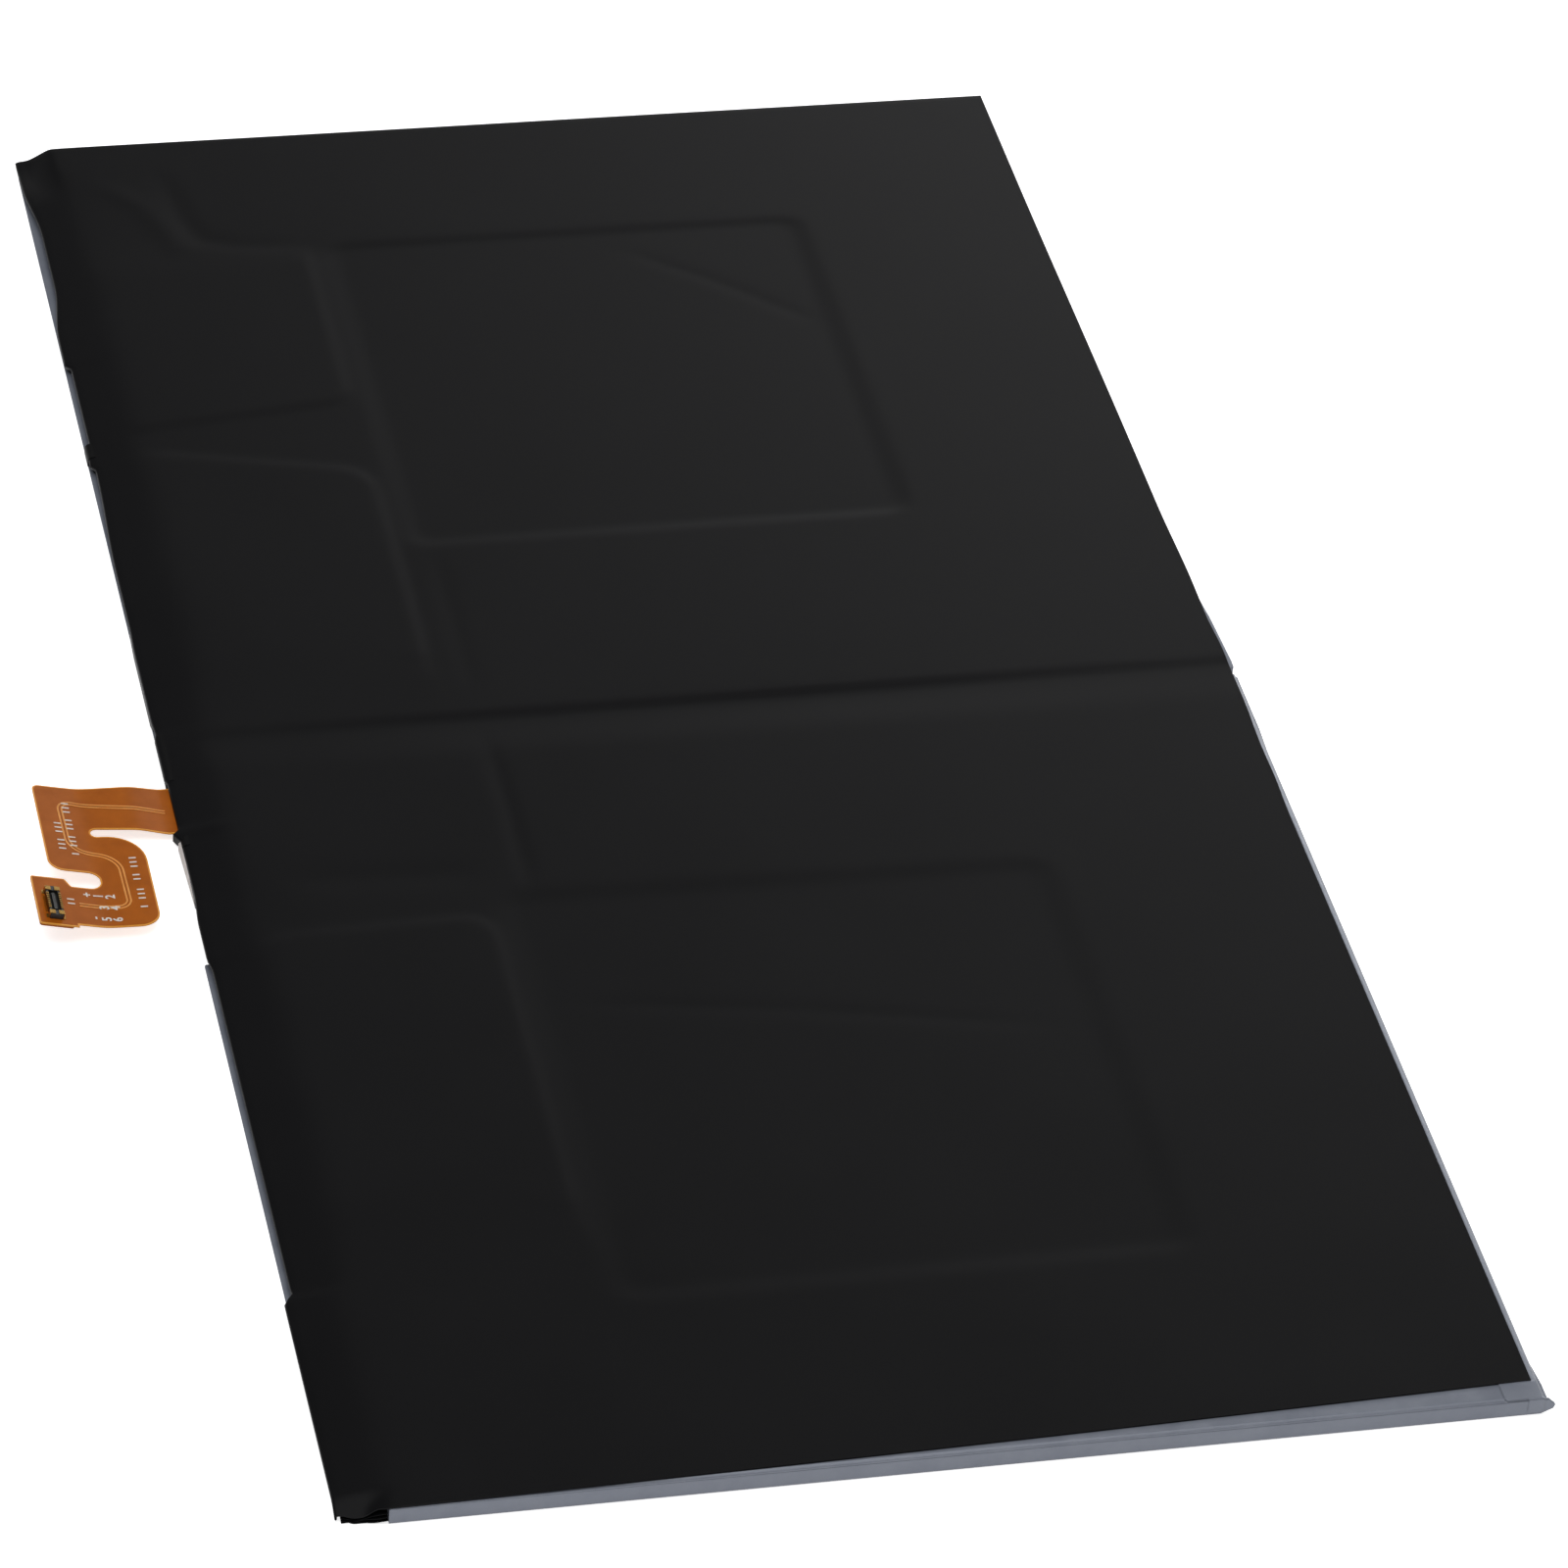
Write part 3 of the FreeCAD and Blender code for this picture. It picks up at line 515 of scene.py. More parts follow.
@dataclass(frozen=True)
class Patch:
    """Area with soft edges on the film, raised or sunk as a whole.

    far_skew and near_skew shift the far and near edges at the left end, corner rounds the
    corners, fades gives half the width of the left, right, near and far edges, and
    corner_turn is where one edge's width goes over into the next one's.
    """

    left: float
    right: float
    near: float
    far: float
    height: float
    fades: tuple[float, float, float, float]
    far_skew: float = 0.0
    near_skew: float = 0.0
    corner: float = 2.5
    corner_turn: float = 2.0

    def level(self, x: float, y: float) -> float:
        """Returns the patch's height at a place."""
        left_fade, right_fade, near_fade, far_fade = self.fades
        if not (self.left - left_fade < x < self.right + right_fade):
            return 0.0
        share = (self.right - x) / (self.right - self.left)
        far = self.far + self.far_skew * share
        near = self.near + self.near_skew * share
        past_side = max(self.left - x, x - self.right) + self.corner
        past_end = max(near - y, y - far) + self.corner
        outside = math.hypot(max(past_side, 0.0), max(past_end, 0.0))
        outside += min(max(past_side, past_end), 0.0) - self.corner
        side_fade = left_fade if x - self.left < self.right - x else right_fade
        end_fade = near_fade if y - near < far - y else far_fade
        lean = smooth(-self.corner_turn, self.corner_turn, past_side - past_end)
        fade = blend(end_fade, side_fade, lean)
        return self.height * (1 - smooth(-fade, fade, outside))


@dataclass(frozen=True)
class Crease:
    """Soft ridge or valley along a few points.

    It fades at both ends over end_share of its length, and ends sideways at reach_widths.
    """

    points: tuple[Pair, ...]
    height: float
    width: float
    end_share: float = 0.25
    reach_widths: float = 3.0

    def level(self, x: float, y: float) -> float:
        """Returns the crease's height at a place."""
        reach = self.reach_widths * self.width
        for value, values in zip((x, y), zip(*self.points)):
            if not min(values) - reach < value < max(values) + reach:
                return 0.0
        here = Vector((x, y))
        runs = list(zip(self.points[:-1], self.points[1:]))
        total = sum((Vector(b) - Vector(a)).length for a, b in runs)
        best, place, passed = reach, 0.0, 0.0
        for start, end in runs:
            a, b = Vector(start), Vector(end)
            length = (b - a).length
            t = min(max((here - a).dot(b - a) / length ** 2, 0.0), 1.0)
            distance = (here - a.lerp(b, t)).length
            if distance < best:
                best, place = distance, passed + t * length
            passed += length
        fade = smooth(0, self.end_share * total, place)
        fade *= 1 - smooth((1 - self.end_share) * total, total, place)
        return self.height * math.exp(-(best / self.width) ** 2) * fade


@dataclass
class FrontFilm:
    """Black film over both cells, down the far end and down to the terrace at the left.

    edge_shifts move the left wall and the slope with it, edge_cuts trim the wall alone, and
    upright gives the stretches where a tab holds the wall upright. seam_profile runs along
    the pack and seam_shares across it.
    """

    thickness: float = 0.12
    columns_lip: int = 18
    columns_slope: int = 22
    columns_flat: int = 176
    rows_flat: int = 330
    rows_wrap: int = 12
    cell_left: float = -57.0
    lip_radius: float = 0.34
    wall_tuck: float = 0.5
    upright: tuple[Pair, ...] = ((-24.2, -12.6), (7.5, 24.5))
    upright_fade: float = 1.5
    lip_height: float = 1.43
    slope_start: float = -56.3
    slope_end: float = 2.5
    foot_reach: float = 3.0
    shoulder_softness: float = 0.22
    wall_x: float = -61.27
    wrap_radius: float = 0.24
    wrap_floor: float = 0.64
    terrace_top: float = 0.34
    near_left: float = -124.0
    near_bow: float = 0.33
    near_left_corner: float = -123.55
    near_left_tip: float = -123.0
    near_right: float = -121.2
    tip_span: Pair = (-61.6, -60.2)
    tip_wave: Pair = (0.05, 3.1)
    corner_span: Pair = (-57.9, -57.1)
    far_pinch: Pair = (112.0, 123.0)
    near_pinch: Pair = (-124.2, -120.8)
    pinch_lip: float = 0.55
    pinch_shoulder: float = 0.1
    pinch_slopes: Pair = (0.06, 0.62)
    pinch_softness: Pair = (0.25, 0.001)
    seam_depth: float = 0.17
    seam_profile: tuple[Pair, ...] = ((-4.5, 0.0), (2.3, 1.0), (3.9, 0.0))
    seam_shares: tuple[Pair, ...] = ((-52.0, 0.55), (-20.0, 1.0), (15.0, 1.0), (60.0, 0.5))
    edge_shifts: tuple[Span, ...] = (
        (0.9, 84.0, 11.0, 117.0, 11.0), (-0.12, 77.9, 0.2, 92.0, 12.0),
        (-0.93, -126.0, 1.0, -90.6, 0.7), (-0.3, -37.5, 2.5, -23.8, 5.5),
        (-0.2, -3.9, 0.4, 4.9, 0.4), (-0.13, 4.9, 3.0, 26.0, 6.0),
        (-0.7, -14.5, 1.2, -12.5, 0.35),
    )
    edge_cuts: tuple[Span, ...] = (
        (0.5, 59.6, 0.9, 77.9, 0.25), (0.5, 36.0, 20.0, 57.2, 0.6),
    )
    right_shifts: tuple[Pair, ...] = (
        (-26.0, 0.0), (-19.0, 0.17), (-14.0, 0.13), (-4.0, 0.38), (5.0, 0.43), (11.5, 0.19),
        (19.0, 0.25), (34.0, 0.0), (45.0, 0.0), (105.0, -0.25),
    )
    ripple: float = 0.022
    ripple_size: float = 26.0
    ripple_start: float = 6.0
    ripple_layer: float = 4.2
    patches: tuple[Patch, ...] = (
        Patch(-26.6, 32.2, 36.3, 98.6, -0.1, (1.7, 1.6, 1.0, 1.0)),
        Patch(-28.2, 32.2, -96.2, -31.2, -0.085, (1.9, 2.0, 1.4, 1.6), far_skew=1.5),
        Patch(-56.5, -28.9, 65.9, 98.0, 0.09, (3.0, 1.0, 0.9, 4.5), near_skew=-3.6),
        Patch(-56.5, -28.9, 12.0, 51.4, 0.09, (3.0, 0.9, 7.0, 0.9), far_skew=7.0,
              corner=4.0),
        Patch(-56.5, -29.9, -84.0, -32.6, 0.09, (3.0, 0.9, 9.0, 0.9), far_skew=-1.0,
              corner=4.0),
    )
    creases: tuple[Crease, ...] = (
        Crease(((7.5, 95.5), (19.5, 86.0), (32.2, 74.1)), -0.03, 0.9),
        Crease(((-29.3, -47.9), (0.0, -53.0), (31.5, -60.0)), -0.03, 0.9),
        Crease(((-54.5, 116.0), (-50.5, 113.2), (-47.6, 110.0), (-46.0, 105.5),
                (-44.6, 100.5), (-40.5, 98.6)), 0.055, 1.5),
        Crease(((-45.2, 119.5), (-43.8, 113.0), (-43.0, 106.0), (-41.4, 101.8),
                (-37.5, 100.0), (-32.0, 99.4), (-25.0, 99.0)), -0.055, 1.3),
        Crease(((-24.9, 1.0), (-24.7, -14.0), (-24.9, -30.8)), -0.055, 1.0),
        Crease(((-24.4, 36.0), (-24.6, 22.0), (-24.8, 5.0)), -0.03, 1.0),
        Crease(((-52.5, -24.0), (-40.0, -24.8), (-28.0, -25.5)), -0.05, 1.9),
    )

    def __post_init__(self) -> None:
        """Reads the film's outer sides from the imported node."""
        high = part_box("front_film")[1]
        self.right = high.x / MM
        self.far = high.y / MM
        self.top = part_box("cell_far")[1].z / MM + self.thickness

    def relief(self, x: float, y: float) -> float:
        """Height that pads, panels, creases and the seam add to the flat film.

        Args:
            x: Place across the pack.
            y: Place along the pack.

        Returns:
            Height over the flat film.
        """
        level = sum(patch.level(x, y) for patch in self.patches)
        level += sum(crease.level(x, y) for crease in self.creases)
        sunk = along(self.seam_profile, y) * along(self.seam_shares, x)
        level -= self.seam_depth * sunk
        spot = Vector((x / self.ripple_size, y / self.ripple_size, self.ripple_layer))
        fade = smooth(self.cell_left, self.cell_left + self.ripple_start, x)
        return level + self.ripple * noise.noise(spot) * fade

    def edge_x(self, y: float) -> float:
        """Returns the place of the film's left wall, with its swells and dents."""
        return self.wall_x + swell(self.edge_shifts, y)

    def corner_share(self, y: float) -> float:
        """Returns how far the film is pressed down toward the pinched left corners."""
        return max(smooth(*self.far_pinch, y), 1 - smooth(*self.near_pinch, y))

    def slope_level(self, x: float, y: float) -> float:
        """Height of the film's sloping left side, carried on as a straight line.

        Args:
            x: Place across the pack.
            y: Place along the pack.

        Returns:
            Height over the underside.
        """
        share = self.corner_share(y)
        lip = blend(self.lip_height, self.pinch_lip, share)
        shoulder = blend(self.slope_start, self.cell_left - self.pinch_shoulder, share)
        wall = self.edge_x(y)
        even = (self.top - self.lip_height) / (self.slope_start - self.wall_x)
        low_slope, high_slope = (blend(even, slope, share) for slope in self.pinch_slopes)
        gentle = lip + low_slope * (x - wall)
        steep = self.top + high_slope * (x - shoulder)
        softness, least = self.pinch_softness
        return gentle + hinge(steep - gentle, softness * share + least)

    def surface(self, x: float, y: float) -> float:
        """Returns the height of the film's outer face right of the lip."""
        flat = self.top + self.relief(x, y)
        softness = self.shoulder_softness
        return flat - hinge(flat - self.slope_level(x, y), softness) + softness / 4

    def near_edge(self, x: float) -> float:
        """Returns the place of the cut near edge, which slants across the cell."""
        share = max((x - self.cell_left) / (self.right - self.cell_left), 0.0)
        slanted = blend(self.near_left, self.near_right, share)
        slanted -= self.near_bow * math.sin(math.pi * share)
        tip_share = smooth(*self.tip_span, x)
        corner = blend(self.near_left_tip, self.near_left_corner, tip_share)
        height, pace = self.tip_wave
        corner += height * math.sin(pace * x)
        return blend(corner, slanted, smooth(*self.corner_span, x))

    def right_edge(self, y: float) -> float:
        """Returns the place of the cut right edge, which swells over the seam's corners."""
        return self.right + along(self.right_shifts, y)

    def column(self, step: int, y: float) -> tuple[float, float | None]:
        """Place across the pack of one column of the sheet.

        Args:
            step: Column number from the foot of the left wall.
            y: Place along the pack.

        Returns:
            X and the height, which is None where surface() gives it.
        """
        wall = self.edge_x(y) + swell(self.edge_cuts, y)
        slope = self.slope_level(wall + 1, y) - self.slope_level(wall, y)
        lean = math.atan(slope)
        radius = self.lip_radius
        centre_z = self.slope_level(wall, y) + slope * radius - radius / math.cos(lean)
        foot = self.columns_lip / 3
        if step <= foot:
            fade = self.upright_fade
            stands = sum(smooth(start - fade, start, y) * (1 - smooth(end, end + fade, y))
                         for start, end in self.upright)
            tuck = self.wall_tuck * (1 - stands) * (1 - self.corner_share(y))
            tuck *= 1 - step / foot
            height = blend(self.terrace_top, max(centre_z, self.terrace_top), step / foot)
            return wall + tuck, height
        lip_end_x = wall + radius - radius * math.sin(lean)
        if step <= self.columns_lip:
            share = (step - foot) / (self.columns_lip - foot)
            angle = blend(math.pi, math.pi / 2 + lean, share)
            return (wall + radius + radius * math.cos(angle),
                    max(centre_z + radius * math.sin(angle), self.terrace_top))
        slope_end = self.cell_left + self.slope_end
        if step <= self.columns_lip + self.columns_slope:
            share = (step - self.columns_lip) / self.columns_slope
            return blend(lip_end_x, slope_end, share), None
        share = (step - self.columns_lip - self.columns_slope) / self.columns_flat
        return blend(slope_end, self.right_edge(y), share), None

    def build(self) -> None:
        """Bends a grid into the film and gives its cut edges their thickness."""
        columns = self.columns_lip + self.columns_slope + self.columns_flat
        rows = self.rows_flat + self.rows_wrap
        shape = bmesh.new()
        bmesh.ops.create_grid(shape, x_segments=columns, y_segments=rows, size=0.5)
        for vertex in shape.verts:
            step = round((vertex.co.x + 0.5) * columns)
            row = round((vertex.co.y + 0.5) * rows)
            vertex.co = self.place(step, row)
        rim = [e for e in shape.edges if e.is_boundary]
        raised = bmesh.ops.extrude_edge_only(shape, edges=rim)
        for vertex in new_vertices(raised["geom"]):
            vertex.co += self.rim_shift(vertex.co)
        bmesh.ops.recalc_face_normals(shape, faces=shape.faces)
        piece = make_piece("front_film_sheet", shape, BLACK_FILM, soft_angle=50)
        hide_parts("front_film")

    def place(self, step: int, row: int) -> Vector:
        """Place of one vertex of the sheet.

        Args:
            step: Column number from the foot of the left wall.
            row: Row number from the near edge.

        Returns:
            The place in millimetres.
        """
        straight_far = self.far - self.wrap_radius
        share = min(row / self.rows_flat, 1.0)
        guess = blend(self.near_right, straight_far, share)
        x, _ = self.column(step, guess)
        y = blend(self.near_edge(x), straight_far, share)
        x, height = self.column(step, y)
        z = self.surface(x, y) if height is None else height
        if row <= self.rows_flat:
            return Vector((x, y, z))
        turn_rows = self.rows_wrap / 2
        past = row - self.rows_flat
        over_cell = smooth(self.cell_left - 1, self.cell_left, x)
        floor = blend(self.terrace_top, self.wrap_floor, over_cell)
        angle = min(past / turn_rows, 1.0) * math.pi / 2
        y += self.wrap_radius * math.sin(angle)
        turned = max(z - self.wrap_radius * (1 - math.cos(angle)), floor)
        down = max(past / turn_rows - 1.0, 0.0)
        return Vector((x, y, blend(turned, min(floor, turned), down)))

    def rim_shift(self, spot: Vector) -> Vector:
        """Way from the outer face to the inner face at a cut edge.

        Args:
            spot: Place on the outer rim.

        Returns:
            Shift in millimetres.
        """
        if spot.y > self.far - TOUCH:
            return Vector((0, -self.thickness, 0))
        foot_end = self.cell_left - self.foot_reach
        if spot.x < foot_end and spot.z < self.terrace_top + TOUCH:
            return Vector((self.thickness, 0, 0))
        return Vector((0, 0, -self.thickness))


@dataclass
class NearPleat:
    """Loose end of the film at the near left corner, crumpled into thin layers.

    Each layer has its height at the left and at the right, and its shift along the pack.
    """

    left: float = -61.55
    right: float = -57.0
    near_left: float = -123.05
    near_right: float = -123.85
    root: float = -122.0
    layers: tuple[Triple, ...] = (
        (0.5, 1.5, 0.0), (0.36, 1.1, -0.1), (0.24, 0.55, -0.14),
    )
    thickness: float = 0.05
    wave_height: float = 0.09
    wave_pace: float = 8.5
    wave_lag: float = 1.7
    droop: float = 0.12

    def build(self) -> None:
        """Makes each layer as a small wavy sheet."""
        for number, (left_level, right_level, shift) in enumerate(self.layers, 1):
            shape = bmesh.new()
            bmesh.ops.create_grid(shape, x_segments=28, y_segments=10, size=0.5)
            for vertex in shape.verts:
                u, v = vertex.co.x + 0.5, vertex.co.y + 0.5
                x = blend(self.left, self.right, u)
                wave = math.sin(u * self.wave_pace + self.wave_lag * number)
                wave *= self.wave_height * (1 - 0.5 * u)
                near = blend(self.near_left, self.near_right, u) + shift + 0.5 * wave
                y = blend(near, self.root, v)
                z = blend(left_level, right_level, u * u) + wave * (1 - v)
                z -= self.droop * (1 - v) ** 2
                vertex.co = Vector((x, y, z))
            make_sheet(f"near_film_pleat_{number}", shape, self.thickness, BLACK_FILM)


@dataclass
class PaintedLipHighlight:
    """Off-white sliver on the film's wall, beside the flex circuit: a painted highlight
    that stands in for the lip's reflection.

    Each point has its place along the pack, its height over low and its lean off the wall.
    """

    wall: float = -61.27
    thickness: float = 0.05
    low: float = 0.36
    outline: tuple[Triple, ...] = (
        (-25.0, 0.0, 0.0), (-20.0, 0.0, 0.15), (-14.9, 0.0, 0.3), (-14.3, 0.5, 0.2),
        (-14.5, 0.82, 0.03), (-16.5, 0.84, 0.03), (-20.0, 0.72, 0.0), (-23.4, 0.35, 0.0),
    )

    def build(self) -> None:
        """Makes the sliver as a thin upright plate, thinning out toward the near end."""
        shape = bmesh.new()
        verts = [shape.verts.new((self.wall - lean, y, self.low + z))
                 for y, z, lean in self.outline]
        shape.faces.new(verts)
        made = bmesh.ops.extrude_face_region(shape, geom=shape.faces[:])["geom"]
        bmesh.ops.translate(shape, verts=new_vertices(made), vec=(-self.thickness, 0, 0))
        bmesh.ops.recalc_face_normals(shape, faces=shape.faces)
        # The off-white plate is a painted highlight of the film's lip, not a real liner
        make_piece("painted_lip_highlight", shape, LIP_HIGHLIGHT_PAINT)


@dataclass(frozen=True)
class PackedGroup:
    """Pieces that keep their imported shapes, with a finish for each pattern of names."""

    finishes: tuple[tuple[str, Finish], ...]

    def dress(self) -> None:
        """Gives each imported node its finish."""
        for pattern, finish in self.finishes:
            dress(pattern, finish)


# Both pouch cells with their tapes, foam, tabs and back film
POUCHES = PackedGroup((
    ("cell_*", LAMINATE), ("seam_foam", FOAM), ("spacer_tape_*", ADHESIVE),
    ("*_sealant_*", SEALANT), ("positive_tab_[!s]*", ALUMINIUM),
    ("negative_tab_[!s]*", NICKEL), ("back_film", BLACK_FILM), ("edge_tape_*", BLACK_TAPE),
))
# Circuit board under the film's slope, with what is soldered on it
PROTECTION_BOARD = PackedGroup((
    ("protection_board", BOARD), ("board_backing_tape", ADHESIVE),
    ("*charge_switch", CHIP_MOULDING), ("*_chip", CHIP_MOULDING),
    ("*resistor*", CHIP_MOULDING), ("therm*", CHIP_MOULDING),
    ("chip_capacitors", CERAMIC), ("*_weld_plate_*", NICKEL),
    ("flex_solder_joints", SOLDER),
))
# Board-to-board plug on the flex circuit's tab
PLUG = PackedGroup((("plug_housing", PLUG_MOULDING), ("plug_*_contacts", GOLD)))


@dataclass(frozen=True)
class FlexCurve:
    """Height of the flex circuit's top along X, as straight runs with soft bends between.

    Each bend has its place, its change of slope and its softness.
    """

    board_top: float = 0.82
    thickness: float = 0.15
    bends: tuple[Triple, ...] = (
        (-62.35, 0.24, 0.35), (-65.6, -0.226, 0.7), (-71.4, 0.226, 0.9),
    )

    def top(self, x: float) -> float:
        """Returns the height of the top face at a place across the pack."""
        rise = sum(turn * hinge(start - x, soft) for start, turn, soft in self.bends)
        return self.board_top + self.thickness + rise


@dataclass
class FlexCircuit:
    """S-shaped flex circuit: bare edge, copper under coverlay and gap lines.

    corners and line_route give, for each corner, its place across from left_side, its place
    along the pack and its rounding. The sheet is cut across at each bisect_pitch to bend.
    """

    curve: FlexCurve = field(default_factory=FlexCurve)
    left_side: float = -62.0
    copper_inset: float = 0.19
    copper_rise: float = 0.02
    line_width: float = 0.21
    line_pitch: float = 0.42
    line_rise: float = 0.03
    line_thickness: float = 0.01
    bisect_pitch: float = 0.3
    corner_segments: int = 10
    line_segments: int = 8
    corners: tuple[Triple, ...] = (
        (3.8, -12.6, 0.0), (3.8, -4.6, 0.0), (-14.5, -4.6, 0.8), (-14.5, -19.65, 1.7),
        (-9.1, -19.65, 1.3), (-9.1, -22.55, 1.3), (-12.5, -22.55, 0.3), (-13.1, -21.3, 0.3),
        (-16.85, -21.3, 0.3), (-16.85, -29.6, 0.3), (-12.5, -29.6, 0.1),
        (-12.5, -29.2, 0.1), (-3.45, -29.2, 2.3), (-3.45, -13.3, 4.4), (-9.0, -13.3, 0.68),
        (-9.0, -11.8, 0.68), (-0.3, -12.6, 2.0),
    )
    line_route: tuple[Triple, ...] = (
        (-0.2, -8.8, 0.0), (-5.0, -8.35, 2.0), (-11.9, -7.25, 1.5), (-11.75, -15.75, 1.8),
        (-6.6, -17.2, 2.2), (-6.45, -25.9, 1.3), (-12.0, -25.7, 0.0),
    )

    def outline(self, inset: float) -> Shape:
        """Flat plan of the circuit with rounded corners.

        Args:
            inset: How far the outline lies inside the cut edge.

        Returns:
            A flat mesh of one face.
        """
        shape = bmesh.new()
        verts = [shape.verts.new((self.left_side + x, y, 0)) for x, y, _ in self.corners]
        shape.faces.new(verts)
        for number, (x, y, radius) in enumerate(self.corners):
            if radius <= inset:
                continue
            here = Vector((x, y))
            before = Vector(self.corners[number - 1][:2]) - here
            after = Vector(self.corners[(number + 1) % len(verts)][:2]) - here
            reach = radius / math.tan(before.angle(after) / 2)
            round_off(shape, [verts[number]], reach, self.corner_segments)
        bmesh.ops.remove_doubles(shape, verts=shape.verts, dist=WELD)
        if inset > 0:
            made = bmesh.ops.inset_region(shape, faces=shape.faces[:], thickness=inset,
                                          use_boundary=True, use_even_offset=True)
            bmesh.ops.delete(shape, geom=made["faces"], context="FACES")
        return shape

    def draped(self, inset: float, lift: float) -> Shape:
        """Cuts the outline across its bends and lays it on the circuit's top.

        Args:
            inset: How far the outline lies inside the cut edge.
            lift: Height over the top face.

        Returns:
            The bent surface.
        """
        shape = self.outline(inset)
        low = min(v.co.x for v in shape.verts)
        high = max(v.co.x for v in shape.verts)
        place = low + self.bisect_pitch
        while place < high:
            everything = shape.verts[:] + shape.edges[:] + shape.faces[:]
            bmesh.ops.bisect_plane(shape, geom=everything, plane_co=(place, 0, 0),
                                   plane_no=(1, 0, 0))
            place += self.bisect_pitch
        for vertex in shape.verts:
            vertex.co.z += self.curve.top(vertex.co.x) + lift
        return shape

    def ribbon(self, points: list[Vector]) -> Shape:
        """Lays a narrow ribbon on the circuit.

        Args:
            points: Middle line of the ribbon, flat.

        Returns:
            The ribbon's surface.
        """
        shape = bmesh.new()
        sides = []
        for number, point in enumerate(points):
            across = sideways(points, number) * self.line_width / 2
            sides.append(shape.verts.new(point + across))
        edges = [shape.edges.new(pair) for pair in zip(sides[:-1], sides[1:])]
        made = bmesh.ops.extrude_edge_only(shape, edges=edges)["geom"]
        for vertex, side, point in zip(new_vertices(made), sides, points):
            vertex.co = 2 * point - side.co
        lift = self.copper_rise + self.line_rise
        for vertex in shape.verts:
            vertex.co.z = self.curve.top(vertex.co.x) + lift
        return shape

    def rounded_route(self, shift: float) -> list[Vector]:
        """Route of the gap line with rounded corners, moved sideways.

        Args:
            shift: Sideways distance from the middle of the line pair.

        Returns:
            Points along the line.
        """
        wire = bmesh.new()
        corners = [(self.left_side + x, y, 0) for x, y, _ in self.line_route]
        verts = [wire.verts.new(corner) for corner in corners]
        for pair in zip(verts[:-1], verts[1:]):
            wire.edges.new(pair)
        for number, (_, _, radius) in enumerate(self.line_route):
            if radius > 0:
                round_off(wire, [verts[number]], radius, self.line_segments)
        ordered = [next(v for v in wire.verts if len(v.link_edges) == 1
                        and v.co.x > self.left_side - 1)]
        edge = None
        while following := [e for e in ordered[-1].link_edges if e is not edge]:
            edge = following[0]
            ordered.append(edge.other_vert(ordered[-1]))
        line = [v.co.copy() for v in ordered]
        wire.free()
        dense = []
        for start, end in zip(line[:-1], line[1:]):
            parts = max(1, round((end - start).length / self.bisect_pitch))
            dense += [start.lerp(end, i / parts) for i in range(parts)]
        dense.append(line[-1])
        return [p + sideways(dense, number) * shift for number, p in enumerate(dense)]

    def build_lines(self) -> None:
        """Makes the two light lines where bare polyimide shows between the copper areas."""
        for number, side in enumerate((-1, 1), 1):
            shape = self.ribbon(self.rounded_route(side * self.line_pitch / 2))
            make_sheet(f"flex_gap_line_{number}", shape, self.line_thickness, POLYIMIDE_GAP)

    def build(self) -> None:
        """Makes every layer of the circuit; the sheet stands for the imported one."""
        bare = self.draped(0.0, 0.0)
        sheet = make_sheet("flex_sheet", bare, self.curve.thickness, POLYIMIDE_EDGE)
        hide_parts("flex_circuit")
        copper = self.draped(self.copper_inset, self.copper_rise)
        make_sheet("flex_copper_area", copper, self.copper_rise, POLYIMIDE_COPPER)
        self.build_lines()
        dress("flex_stiffener", POLYIMIDE_COPPER)


